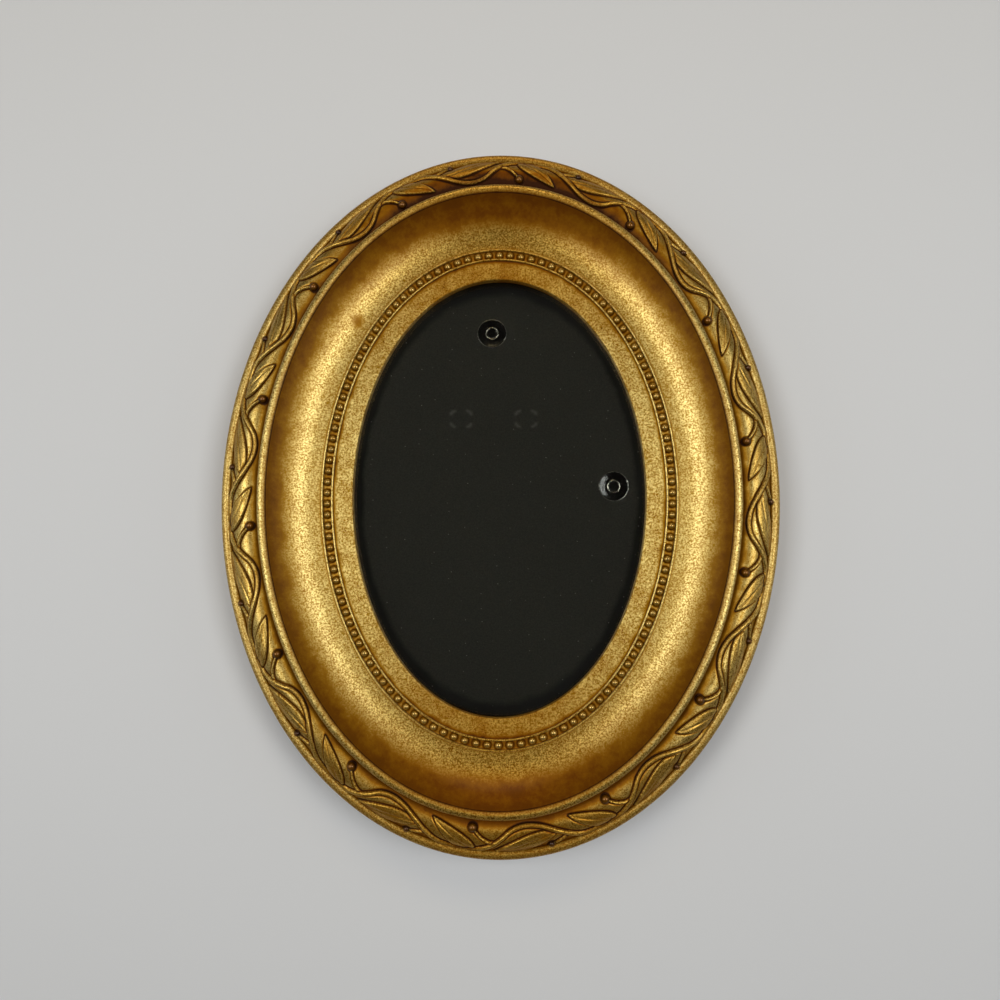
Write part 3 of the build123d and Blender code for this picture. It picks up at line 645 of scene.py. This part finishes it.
def from_route(x, y, route):
    """Distance from grid points to a route, the share of it passed there, and the signed side."""
    dx = x[..., None] - route[:, 0]
    dy = y[..., None] - route[:, 1]
    near = np.argmin(dx**2 + dy**2, -1)
    run = np.gradient(route, axis=0)
    run /= np.linalg.norm(run, axis=1)[:, None]
    away_x = np.take_along_axis(dx, near[..., None], -1)[..., 0]
    away_y = np.take_along_axis(dy, near[..., None], -1)[..., 0]
    side = run[near, 0] * away_y - run[near, 1] * away_x
    return np.hypot(away_x, away_y), near / (len(route) - 1), side


def blurred(field, passes):
    """Field smoothed by repeated one-two-one averages, joined round the oval and held at the edges."""
    for _ in range(passes):
        field = (np.roll(field, 1, 0) + 2 * field + np.roll(field, -1, 0)) / 4
        held = np.pad(field, ((0, 0), (1, 1)), mode="edge")
        field = (held[:, :-2] + 2 * held[:, 1:-1] + held[:, 2:]) / 4
    return field


def blade(x, y, rib, half_width, height, fullest):
    """Leaf: a low swell with a steep edge and a cut midrib, pointed at both ends, and the gap outside.

    The half width is a sine of the share of the rib that is passed, raised to put the fullest place.
    """
    distance, share, side = from_route(x, y, rib)
    swell = np.sin(np.pi * np.clip(share, 0, 1) ** fullest) ** 0.8
    half = half_width * swell
    past_end = (share <= 0) | (share >= 1)
    gap = np.where(past_end, distance, np.maximum(np.abs(side) - half, 0))
    across = np.clip(np.abs(side) / np.maximum(half, 0.05), 0, 1)
    swelling = 0.7 + 0.3 * np.sqrt(1 - across**2)
    midrib = MIDRIB_CUT * np.exp(-((side / MIDRIB_CUT) ** 2)) * ramp(half, 0.3, 0.8)
    return height * swelling - midrib, gap


def cane(x, y, route, half_width, height, taper):
    """Round stem: a half ellipse over its width, thinner by the taper towards its end, and the gap
    outside it."""
    distance, share, _ = from_route(x, y, route)
    half = half_width * (1 - taper * share)
    rise = height * np.sqrt(np.clip(1 - (distance / half) ** 2, 0, 1)) * (1 - 0.5 * taper * share)
    return rise, np.maximum(distance - half, 0)


def vine_relief(pitch):
    """Height of one repeat over its ground, on a grid along and across the band, in millimetres, and the
    mark of glaze and painted shade in the cut line round each form and round the foot of each berry.

    The forms are laid in order, each at its own place and one repeat to either side, and each cuts a
    line of a bell section into what lies under it.
    """
    along = (np.arange(GRID_ALONG) + 0.5) / GRID_ALONG * pitch
    x, y = np.meshgrid(along, np.linspace(0, VINE_WIDTH, GRID_ACROSS + 1), indexing="ij")
    forms = (
        (blade, FROND_RIB, FROND_HALF_WIDTH, LEAF_HEIGHT, FROND_FULLEST),
        (blade, LEAF_RIB, LEAF_HALF_WIDTH, LEAF_HEIGHT, LEAF_FULLEST),
        (cane, TWIG, TWIG_HALF_WIDTH, TWIG_HEIGHT, TWIG_TAPER),
        (cane, STALK, STALK_HALF_WIDTH, STALK_HEIGHT, STALK_TAPER),
        (cane, STEM, STEM_HALF_WIDTH, STEM_HEIGHT, 0.0),
    )
    height = np.zeros_like(x)
    line = np.zeros_like(x)
    for form, places, *sizes in forms:
        route = smooth_route(places, pitch)
        for shift in (-pitch, 0.0, pitch):
            rise, gap = form(x - shift, y, route, *sizes)
            cut = np.exp(-((gap / CUT_WIDTH) ** 2))
            height = np.where(gap > 0, height, np.maximum(height, rise))
            line = np.where(gap > 0, np.maximum(line, cut), 0.0)
    height = height - CUT_DEPTH * line
    # Line of glaze and painted shade round the foot of each berry
    for shift in (-pitch, 0.0, pitch):
        for (berry_along, berry_across), radius in BERRIES:
            away = np.hypot(x - shift - berry_along * pitch, y - berry_across * VINE_WIDTH)
            line = np.maximum(line, np.exp(-(((away - radius) / BERRY_LINE) ** 2)))
    return height, line


# Sections that neighbouring bands share
rim_section = arc((RIM_RADIUS, RIM_LEVEL - RIM_RADIUS), RIM_RADIUS, 215, 25, 20)
ridge_centre = ((VINE_END + RIDGE_END) / 2 + 0.1 * RIDGE_WIDTH, RIDGE_LEVEL - RIDGE_RADIUS)
ridge_roll = arc(ridge_centre, RIDGE_RADIUS, 190, 25, 18)
vine_foot = rim_section[-1]
vine_crown = (VINE_START + 0.55 * VINE_WIDTH, VINE_LEVEL)
vine_head = (VINE_END, RIDGE_GROOVE_LEVEL)
vine_centre, vine_radius = circle_through(vine_foot, vine_crown, vine_head)


def vine_ground(across):
    """Depth, level and normal of the vine's ground at a share of the way across the band, on the circle
    through the foot of the rim, the crown of the band and the groove beside the ridge."""
    depth = vine_foot[0] + (VINE_END - vine_foot[0]) * across
    level = vine_centre[1] + np.sqrt(vine_radius**2 - (depth - vine_centre[0]) ** 2)
    normal = np.stack([depth - vine_centre[0], level - vine_centre[1]], -1) / vine_radius
    return depth, level, normal


def make_vine(material):
    """Vine band in pieces: relief raised along the normal of its round ground, all repeats alike, with
    glaze in its hollows and towards both edges, glaze and painted shade in the cut lines, wear and
    painted glints on its crests, and painted shade at the two ends of the oval."""
    turns, length = even_turns(
        VINE_MIDDLE, VINE_REPEATS * GRID_ALONG, VINE_PHASE / VINE_REPEATS, VINE_DRIFT)
    relief, line = (np.tile(field, (VINE_REPEATS, 1)) for field in vine_relief(length / VINE_REPEATS))
    relief = blurred(relief, 1)
    hollow = blurred(relief, 8) - relief
    forms = ramp(relief, 0.2, 0.6)
    ends = end_shade_share(turns)
    top = np.clip(np.sin(turns), 0, 1)[:, None] ** 4
    across = np.linspace(0, 1, GRID_ACROSS + 1)[None, :]
    outer = VINE_OUTER_GLAZE * ramp(0.2 - across, 0.0, 0.2)
    inner = VINE_INNER_GLAZE * ramp(across, 0.66, 0.95)
    # Painted shade at the two ends of the oval, stronger on the ground at the top
    wash_and_end_shade = VINE_TOP_SHADE * top * ramp(across, 0.35, 0.6) * (1 - 0.6 * forms) + VINE_END_SHADE * ends
    # Glaze in the hollows and towards both edges, and glaze and painted shade in the cut lines and round
    # the berries
    patina = np.clip(hollow, 0, 0.4) + VINE_GLAZE + outer + inner + wash_and_end_shade + VINE_LINE_GLAZE_AND_SHADE * line
    # Wear and painted glints on the crests of the relief
    wear_and_glint = np.clip(-4.0 * hollow - 0.1, 0, 1)
    # Painted shade at the two ends of the oval, and a warmer tone on the raised leaves
    end_shade_and_warmth = np.clip(ends + LEAF_WARMTH * forms, 0, 1)
    depth, level, normal = vine_ground(across)
    fade = ramp(across, 0.0, 0.02) * ramp(1 - across, 0.0, 0.05)
    raised = relief * fade
    points = oval_points(
        depth + raised * normal[..., 0], level + raised * normal[..., 1], turns[:, None])
    along = np.arange(len(turns) + 1)[:, None] / len(turns) * length
    uv = band_places(along, section_lengths(np.stack([depth[0], level[0]], -1)))
    run_along = np.roll(points, -1, 0) - np.roll(points, 1, 0)
    run_across = np.gradient(points, axis=1)
    normals = np.cross(run_across, run_along)
    normals /= np.linalg.norm(normals, axis=-1, keepdims=True)
    share = len(turns) // VINE_PIECES
    for index in range(VINE_PIECES):
        rows = np.arange(index * share, (index + 1) * share + 1)
        wrapped = rows % len(turns)
        marks = {"patina": patina[wrapped], "wear_and_glint": wear_and_glint[wrapped], "end_shade_and_warmth": end_shade_and_warmth[wrapped]}
        piece = grid_mesh(f"vine_band_{index + 1}", points[wrapped], uv[rows], marks, closed=False)
        piece.data.normals_split_custom_set_from_vertices(normals[wrapped].reshape(-1, 3))
        piece.data.materials.append(material)
        as_gilding(piece)


def domes(name, centres, axes, radius, rings, sides, reach, glaze, material):
    """Round knobs: a dome of points on a sphere about each axis, from its pole to the reach angle in
    degrees, with the first amount of glaze on its crown and the second on its flank."""
    tilt = np.radians(np.linspace(0, reach, rings + 1))[1:]
    swing = np.arange(sides) / sides * 2 * np.pi
    side_a = np.cross(axes, np.where(np.abs(axes[:, :1]) < 0.9, [[1.0, 0, 0]], [[0, 1.0, 0]]))
    side_a /= np.linalg.norm(side_a, axis=1, keepdims=True)
    side_b = np.cross(axes, side_a)
    out = np.sin(tilt)[:, None]
    up = np.cos(tilt)[:, None]
    ball = np.stack(np.broadcast_arrays(out * np.cos(swing), out * np.sin(swing), up), -1)
    ball = np.vstack([[0, 0, 1], ball.reshape(-1, 3)])
    spread = np.einsum("pk,nkc->npc", ball, np.stack([side_a, side_b, axes], 1))
    points = (centres[:, None] + spread * radius[:, None, None] * MM).reshape(-1, 3)
    here = np.arange(sides)
    after = (here + 1) % sides
    low = 1 + np.arange(rings - 1)[:, None] * sides
    crown = np.stack([np.zeros(sides, int), 1 + here, 1 + after], -1)
    flank = np.stack([low + here, low + sides + here, low + sides + after, low + after], -1)
    step = (np.arange(len(centres)) * len(ball))[:, None, None]
    crowns = (crown[None] + step).reshape(-1, 3).tolist()
    flanks = (flank.reshape(1, -1, 4) + step).reshape(-1, 4).tolist()
    mesh = bpy.data.meshes.new(name)
    mesh.from_pydata(points, [], crowns + flanks)
    mesh.polygons.foreach_set("use_smooth", np.ones(len(crowns) + len(flanks), bool))
    mesh.materials.append(material)
    share = np.concatenate([[0.0], np.repeat(ramp(np.degrees(tilt), 20, 75), sides)])
    set_mark(mesh, "patina", np.tile(glaze[0] + (glaze[1] - glaze[0]) * share, len(centres)))
    as_gilding(add_piece(name, mesh))


def make_berries(material):
    """Berries of the vine, each seated on the round ground and standing along its normal."""
    places, axes, radii = [], [], []
    for (along, across), radius in BERRIES:
        turns, _ = even_turns(VINE_MIDDLE, VINE_REPEATS, (along + VINE_PHASE) / VINE_REPEATS, VINE_DRIFT)
        depth, level, normal = vine_ground(across)
        seat = oval_points(depth, level, turns)
        rise = oval_points(depth + normal[0], level + normal[1], turns) - seat
        places.append(seat + BERRY_SEAT * radius * rise)
        axes.append(rise / np.linalg.norm(rise, axis=1, keepdims=True))
        radii.append(np.full(VINE_REPEATS, radius))
    domes("vine_berries", np.vstack(places), np.vstack(axes), np.concatenate(radii),
          rings=8, sides=16, reach=100, glaze=BERRY_GLAZE, material=material)


# Plain bands of the moulding

def make_rim(material):
    """Rim: a half round, with glaze in a bell where it meets the vine."""
    across = np.linspace(0, 1, len(rim_section))
    glaze = RIM_GLAZE + RIM_FOOT_GLAZE * np.exp(-(((1 - across) / 0.08) ** 2))
    ring_band("gilt_rim", rim_section, BAND_STEPS, glaze[None], 0.0, material)


def make_ridge(material):
    """Ridge: a straight flank from the groove and a half round, worn on its crest, glazed beside it."""
    groove = np.array([vine_head])
    flank = groove + (ridge_roll[0] - groove) * np.linspace(0, 1, 6)[:-1, None]
    section = np.vstack([flank, ridge_roll])
    passed = section_lengths(section)
    crest = ramp(section[:, 1], RIDGE_LEVEL - 0.95, RIDGE_LEVEL - 0.25)
    inner_side = ramp(passed / passed[-1], 0.74, 0.84)
    glaze = RIDGE_FLANK_GLAZE * (1 - crest) + RIDGE_INNER_GLAZE * inner_side
    wear = RIDGE_WEAR * crest**2
    ring_band("gilt_ridge", section, BAND_STEPS, glaze[None], wear[None], material, sharp=60.0)


def make_scoop(material):
    """Scoop: a hollow arc from the ridge down to the pearls, through a place below the chord's middle.

    Its glaze, deepened by painted shade on the steep part next to the ridge, thins smoothly downwards
    and gathers again at its foot. At the two ends of the oval painted shade carries the darkening
    further down, and a round smudge, a bell of the fourth power, lies up on the left.
    """
    start = ridge_roll[-1]
    foot = np.array((SCOOP_END, SCOOP_FOOT_LEVEL))
    centre, radius = circle_through(start, (start + foot) / 2 - [0, SCOOP_DROP], foot)
    first = math.degrees(math.atan2(start[1] - centre[1], start[0] - centre[0])) % 360
    last = math.degrees(math.atan2(foot[1] - centre[1], foot[0] - centre[0])) % 360
    section = arc(centre, radius, first, last, 40)
    down = np.linspace(0, 1, len(section))
    turns, _ = even_turns((RIDGE_END + SCOOP_END) / 2, BAND_STEPS)
    ends = end_shade_share(turns)
    # Amber glaze on the upper scoop, deepened by painted shade on its steep part next to the ridge
    glaze = SCOOP_GLAZE_AND_SHADE * ramp(0.74 - down, 0.0, 0.72) + SCOOP_EDGE_GLAZE * ramp(down, 0.96, 1.0)
    # Painted shade at the two ends of the oval, and glaze at the foot, less at the ends
    wash_and_end_shade = SCOOP_END_SHADE * ends * ramp(down, 0.15, 0.4) * ramp(0.8 - down, 0.0, 0.3)
    wash_and_end_shade = wash_and_end_shade + SCOOP_FOOT_GLAZE * (1 - 0.9 * ends) * ramp(down, 0.6, 0.9)
    along = np.angle(np.exp(1j * (turns - SMUDGE_TURN)))[:, None] * SMUDGE_REACH
    across = section_lengths(section) - SMUDGE_DOWN
    smudge = np.exp(-(((along / SMUDGE_SIZE) ** 2 + (across / SMUDGE_SIZE) ** 2) ** 2))
    ring_band("gilt_scoop", section, BAND_STEPS, glaze + wash_and_end_shade + SMUDGE_GLAZE * smudge, 0.0, material)


def make_channel(material):
    """Channel of the pearls: a flat floor between two worn half round strips, with glaze on the floor
    and painted shade in a bell round the foot of each pearl."""
    half = STRIP_WIDTH / 2
    outer_strip = arc((SCOOP_END + half, SCOOP_FOOT_LEVEL), half, 180, 0, 7)
    inner_strip = arc((PEARL_BAND_END - half, INNER_STRIP_LEVEL), half, 180, 0, 7)
    floor_start = (SCOOP_END + STRIP_WIDTH, CHANNEL_LEVEL)
    floor_end = (PEARL_BAND_END - STRIP_WIDTH, CHANNEL_LEVEL)
    section = np.vstack([outer_strip, np.linspace(floor_start, floor_end, 11), inner_strip])
    steps = PEARL_COUNT * CHANNEL_STEPS
    _, length = even_turns(PEARL_DEPTH, PEARL_COUNT)
    along = (np.arange(steps) + CHANNEL_STEPS // 2) % CHANNEL_STEPS / CHANNEL_STEPS - 0.5
    from_pearl = np.hypot(along[:, None] * length / PEARL_COUNT, section[None, :, 0] - PEARL_DEPTH)
    # Painted shade in a bell round the foot of each pearl
    foot = np.exp(-(((from_pearl - PEARL_RADIUS) / 0.28) ** 2))
    sunk = np.clip((SCOOP_FOOT_LEVEL + 0.1 - section[:, 1]) / 0.9, 0, 1)[None]
    glaze = sunk * (CHANNEL_GLAZE + PEARL_FOOT_SHADE * foot)
    ring_band("pearl_channel", section, steps, glaze, STRIP_WEAR * (1 - sunk), material)


def make_pearls(material):
    """Pearls: half spheres, evenly spaced along the channel, each turned to face up."""
    turns, _ = even_turns(PEARL_DEPTH, PEARL_COUNT)
    centres = oval_points(PEARL_DEPTH, CHANNEL_LEVEL, turns)
    upright = np.tile([0.0, 0.0, 1.0], (PEARL_COUNT, 1))
    domes("pearls", centres, upright, np.full(PEARL_COUNT, PEARL_RADIUS),
          rings=7, sides=14, reach=90, glaze=PEARL_GLAZE, material=material)


def make_sight_band(material):
    """Sight band: a step down from the pearls, a straight slope, a rounded nose and a wall to the lip,
    with glaze at its outer edge and on its wall, and painted shade at the two ends of the oval."""
    slope_start = (PEARL_BAND_END, SIGHT_LEVEL + SIGHT_BAND_RISE)
    slope = np.linspace(slope_start, (SIGHT_DEPTH - SIGHT_NOSE, SIGHT_LEVEL), 12)
    nose = arc((SIGHT_DEPTH - SIGHT_NOSE, SIGHT_LEVEL - SIGHT_NOSE), SIGHT_NOSE, 90, 0, 7)
    section = np.vstack([(PEARL_BAND_END, INNER_STRIP_LEVEL), slope, nose[1:], (SIGHT_DEPTH, LIP_LEVEL)])
    inset = np.clip((section[:, 0] - PEARL_BAND_END) / 1.3, 0, 1)
    below = np.clip((SIGHT_LEVEL - SIGHT_NOSE - section[:, 1]) / 0.8, 0, 1)
    turns, _ = even_turns((PEARL_BAND_END + SIGHT_DEPTH) / 2, BAND_STEPS)
    # Glaze, with painted shade at the two ends of the oval
    wash_and_end_shade = SIGHT_GLAZE + SIGHT_END_SHADE * end_shade_share(turns)
    glaze = wash_and_end_shade + SIGHT_EDGE_GLAZE * (1 - inset) + SIGHT_WALL_GLAZE * below
    ring_band("sight_band", section, BAND_STEPS, glaze, 0.0, material)


def make_moulding_back(gilt):
    """Sides and back of the moulding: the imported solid's triangles that lie below the face."""
    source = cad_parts["moulding"].data
    corners = np.empty(len(source.vertices) * 3)
    source.vertices.foreach_get("co", corners)
    corners = corners.reshape(-1, 3) / MM
    source.calc_loop_triangles()
    triangles = np.empty(len(source.loop_triangles) * 3, int)
    source.loop_triangles.foreach_get("vertices", triangles)
    triangles = triangles.reshape(-1, 3)
    top = corners[triangles, 2].max(1)
    middle = corners[triangles].mean(1)
    reach = np.hypot(middle[:, 0] / HALF_WIDTH, middle[:, 1] / HALF_HEIGHT)
    outer_wall = (reach > WALL_REACH) & (top < rim_section[0][1] + 0.05) & (middle[:, 2] > 0.05)
    kept = outer_wall | (top < BACK_LEVEL)
    loose = np.round(corners[triangles[kept]].reshape(-1, 3), 4)
    points, index = np.unique(loose, axis=0, return_inverse=True)
    mesh = bpy.data.meshes.new("moulding_back")
    mesh.from_pydata(points * MM, [], index.reshape(-1, 3).tolist())
    mesh.polygons.foreach_set("use_smooth", np.ones(int(kept.sum()), bool))
    mesh.set_sharp_from_angle(angle=math.radians(30))
    # Cast resin brushed with umber paint: dull and cloudy
    painted = plain_finish("umber_painted_resin", "#5C452B", "#43311E", patch=12.0, grain=0.6,
                           grain_depth=0.05, roughness=0.62, metallic=0.0)
    mesh.materials.append(gilt)
    mesh.materials.append(painted)
    mesh.polygons.foreach_set("material_index", np.where(outer_wall[kept], 0, 1).astype(np.int32))
    # The outer wall darkens towards its foot
    low = np.clip(1 - points[:, 2] / 9.0, 0, 1)
    set_mark(mesh, "patina", WALL_GLAZE + WALL_FOOT_DARKENING * low)
    as_gilding(add_piece("moulding_back", mesh))


def make_moulding():
    """Face of the moulding as bands, each in its own gilding, and its sides and back."""
    burnished = gilded_resin(
        "gilded_resin_burnished", grain=0.55, grain_depth=0.06, roughness=0.34, brushed=0.6,
        lacquer=0.2, cloud_share=0.1, pit_share=0.7, rag_share=0.1)
    carved = gilded_resin(
        "gilded_resin_carved", grain=0.5, grain_depth=0.06, roughness=0.30, brushed=0.0,
        lacquer=0.0, cloud_share=0.2, pit_share=0.4, rag_share=0.1)
    glazed = gilded_resin(
        "gilded_resin_glazed", grain=0.5, grain_depth=0.02, roughness=0.12, brushed=0.0,
        lacquer=0.5, cloud_share=0.1, pit_share=0.2, rag_share=0.1)
    leafed = gilded_resin(
        "gilded_resin_leafed", grain=0.6, grain_depth=0.064, roughness=0.32, brushed=0.65,
        lacquer=0.15, cloud_share=0.1, pit_share=0.55, rag_share=0.16, glaze_most=0.62)
    stippled = gilded_resin(
        "gilded_resin_stippled", grain=0.75, grain_depth=0.09, roughness=0.40, brushed=0.6,
        lacquer=0.0, cloud_share=0.25, pit_share=0.7, rag_share=0.2)
    make_rim(burnished)
    make_vine(carved)
    make_berries(glazed)
    make_ridge(burnished)
    make_scoop(leafed)
    make_channel(carved)
    make_pearls(glazed)
    make_sight_band(stippled)
    make_moulding_back(carved)


# Glass, easel back and fittings

def dress(material, *names):
    """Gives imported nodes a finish."""
    for name in names:
        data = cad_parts[name].data
        data.materials.clear()
        data.materials.append(material)


def lathe(name, section, worn, place, sides, material):
    """Turned piece: a section of (radius, level) points in millimetres carried round a vertical axis."""
    radius, level = section.T
    swing = -np.arange(sides)[:, None] / sides * 2 * np.pi
    x = place[0] + radius * np.cos(swing)
    y = place[1] + radius * np.sin(swing)
    points = np.stack(np.broadcast_arrays(x, y, level), -1) * MM
    along = np.arange(sides + 1)[:, None] / sides * 2 * np.pi * radius.max()
    uv = band_places(along, section_lengths(section))
    piece = grid_mesh(name, points, uv, {"worn": worn[None]}, closed=True)
    piece.data.set_sharp_from_angle(angle=math.radians(50))
    piece.data.materials.append(material)
    return piece


def hanger_eyelets(enamel):
    """Rivet of each hanger, spread into a rolled rim over a dished washer that holds down the paper.

    The rivet's section is closed: head, shank, rolled rim, flared bore and a thin web across the bore.
    So is the washer's: a round edge, a dish that falls inwards as a quarter sine, and a flat seat.
    """
    for side in ("top", "side"):
        low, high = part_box("hanger_rivet_" + side)
        place = ((low.x + high.x) / 2 / MM, (low.y + high.y) / 2 / MM)
        head_radius = (high.x - low.x) / 2 / MM
        foot = low.z / MM
        neck = foot + HEAD_THICKNESS
        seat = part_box("hanger_washer_" + side)[0].z / MM
        web = seat - WEB_DEPTH
        head = arc((head_radius - HEAD_ROUND, foot + HEAD_ROUND), HEAD_ROUND, -90, 0, 6)
        rim = arc((EYELET_RIM_RADIUS, PAPER_LEVEL - 0.03), EYELET_ROLL, -40, 175, 13)
        flare = [(radius, PAPER_LEVEL - sunk) for radius, sunk in EYELET_FLARE]
        rivet = np.vstack([
            (BORE_RADIUS, foot), head, (head_radius, neck), (SHANK_RADIUS, neck),
            (SHANK_RADIUS, seat + 0.2), rim, flare, (BORE_RADIUS, web), (WEB_RADIUS, web),
            (WEB_RADIUS, web - WEB_THICKNESS), (BORE_RADIUS, web - WEB_THICKNESS), (BORE_RADIUS, foot)])
        outside = rivet[:, 0] > EYELET_WEAR_RADIUS
        inside = (rivet[:, 0] < EYELET_WEAR_RADIUS) & (rivet[:, 1] > foot + 0.5)
        worn = ramp(rivet[:, 1], PAPER_LEVEL - 0.06, PAPER_LEVEL + 0.1) * outside
        worn = np.where(inside, -1.0, worn)
        piece = lathe("hanger_eyelet_" + side, rivet, worn, place, 48, enamel)
        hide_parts("hanger_rivet_" + side)

        under = PAPER_LEVEL + FLANGE_LIFT
        skirt = FLANGE_RADIUS - FLANGE_SKIRT
        collar = SHANK_RADIUS + 0.1
        edge = arc((FLANGE_RADIUS - FLANGE_EDGE, under + FLANGE_EDGE), FLANGE_EDGE, -90, 70, 8)
        dish = np.linspace(0, 1, 9)[1:, None]
        fall = np.hstack([
            edge[-1][0] + (FLANGE_DISH_RADIUS - edge[-1][0]) * dish,
            edge[-1][1] - FLANGE_DISH * np.sin(dish * np.pi / 2)])
        flange = np.vstack([
            (skirt, under), edge, fall, (collar, fall[-1][1] - 0.02),
            (collar, seat), (skirt, seat), (skirt, under)])
        on_edge = np.exp(-(((flange[:, 0] - FLANGE_RADIUS + 0.06) / 0.07) ** 2))
        worn = FLANGE_WEAR * on_edge * (flange[:, 1] > PAPER_LEVEL + 0.05)
        piece = lathe("hanger_flange_" + side, flange, worn, place, 64, enamel)
        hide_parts("hanger_washer_" + side)


def clinch_marks(paper):
    """Four low bent ridges in the facing paper over each clinched rivet, where its spread corners press:
    a bell section along a rounded square ring, kept near its corners only, on a patch whose edges dip
    under the paper."""
    low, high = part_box("hinge_clinch_rivets")
    centre_y = (low.y + high.y) / 2 / MM
    half_x, half_y = CLINCH_SPREAD[0] / 2, CLINCH_SPREAD[1] / 2
    reach_x, reach_y = CLINCH_PATCH
    x, y = np.meshgrid(
        np.linspace(-reach_x, reach_x, 66), np.linspace(-reach_y, reach_y, 56), indexing="ij")
    ring = (np.abs(x / half_x) ** 4 + np.abs(y / half_y) ** 4) ** 0.25
    corner = ramp(np.abs(x), 1.2, 2.4) * ramp(np.abs(y), 0.8, 1.9)
    pressed = np.exp(-(((ring - 0.9) / 0.14) ** 2)) * corner
    edge = np.minimum(reach_x - np.abs(x), reach_y - np.abs(y))
    level = PAPER_LEVEL + 0.03 * ramp(edge, 0.0, 1.0) - 0.02 + CLINCH_RISE * pressed
    uv = np.stack([x, y], -1)[:, ::-1] * MM
    for name, centre_x in (("left", low.x / MM + half_x), ("right", high.x / MM - half_x)):
        points = np.stack([x + centre_x, y + centre_y, level], -1)[:, ::-1] * MM
        piece = grid_mesh("clinch_mark_" + name, points, uv, {"pressed": pressed[:, ::-1]}, closed=False)
        piece.data.materials.append(paper)


def make_back():
    """Finishes of the glass, the board, the leg and the metal fittings."""
    paper = dusty_paper()
    enamel = worn_enamel()
    # Pressed and dyed grey board: dull, cloudy, with a fine tooth
    board = plain_finish("black_pressboard", "#26221D", "#181512", patch=9.0, grain=0.5,
                         grain_depth=0.05, roughness=0.7, metallic=0.0)
    # Dull nickel on drawn steel wire: pale grey metal, clouded by age
    nickel = plain_finish("nickel_plated_steel", "#C2BDB0", "#8F897C", patch=3.0, grain=0.3,
                          grain_depth=0.006, roughness=0.3, metallic=1.0)
    # Thin brass on pressed steel: yellow metal, darker where it has tarnished
    brass = plain_finish("brass_plate", "#CFA658", "#9C7634", patch=4.0, grain=0.35,
                         grain_depth=0.01, roughness=0.32, metallic=1.0)
    dress(picture_glass(), "glass_pane")
    dress(paper, "facing_paper")
    dress(board, "backing_board", "easel_leg")
    dress(enamel, "hinge_fixed_leaf", "hinge_leg_leaf", "hinge_clinch_rivets",
          "hanger_strap_top", "hanger_strap_side")
    dress(nickel, "hinge_pin", "leg_rivets", "hanger_ring_top", "hanger_ring_side")
    dress(brass, *[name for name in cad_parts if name.startswith("turn_button_")])
    clinch_marks(paper)
    hanger_eyelets(enamel)


# Stage

def make_floor():
    """Plain pale floor, seen from above only, that lets the light below it through to the back."""
    material, tree = new_material("pale_floor")
    from_below = add_node(tree, "ShaderNodeNewGeometry").outputs["Backfacing"]
    to_light = add_node(tree, "ShaderNodeLightPath").outputs["Is Shadow Ray"]
    open_share = add_node(tree, "ShaderNodeMath", {0: from_below, 1: to_light}, operation="MAXIMUM")
    pale = add_node(tree, "ShaderNodeBsdfDiffuse", {"Color": linear(FLOOR_COLOUR)})
    clear = add_node(tree, "ShaderNodeBsdfTransparent")
    shown = add_node(tree, "ShaderNodeMixShader", {0: open_share, 1: pale, 2: clear})
    add_node(tree, "ShaderNodeOutputMaterial", {"Surface": shown})
    signs = ((-1, -1), (1, -1), (1, 1), (-1, 1))
    corners = [(x * FLOOR_REACH, y * FLOOR_REACH, FLOOR_LEVEL) for x, y in signs]
    mesh = bpy.data.meshes.new("floor")
    mesh.from_pydata(corners, [], [(0, 1, 2, 3)])
    mesh.materials.append(material)
    floor = bpy.data.objects.new("floor", mesh)
    bpy.context.scene.collection.objects.link(floor)


def make_sky():
    """Dim warm light from all round, dimmer from straight above."""
    world = bpy.data.worlds.new("studio")
    world.use_nodes = True
    tree = world.node_tree
    tree.nodes.clear()
    direction = add_node(tree, "ShaderNodeTexCoord").outputs["Generated"]
    height = add_node(tree, "ShaderNodeSeparateXYZ", {0: direction}).outputs["Z"]
    strength = add_node(tree, "ShaderNodeMapRange", {
        "Value": height, "From Min": 0.75, "From Max": 0.92,
        "To Min": SKY_STRENGTH, "To Max": ZENITH_STRENGTH})
    sky = add_node(tree, "ShaderNodeBackground", {"Color": SKY_COLOUR, "Strength": strength})
    add_node(tree, "ShaderNodeOutputWorld", {"Surface": sky})
    bpy.context.scene.world = world


make_camera()
make_floor()
make_sky()
for light in LIGHTS:
    area_light(*light)
make_moulding()
make_back()
bpy.context.scene.view_settings.view_transform = "Standard"
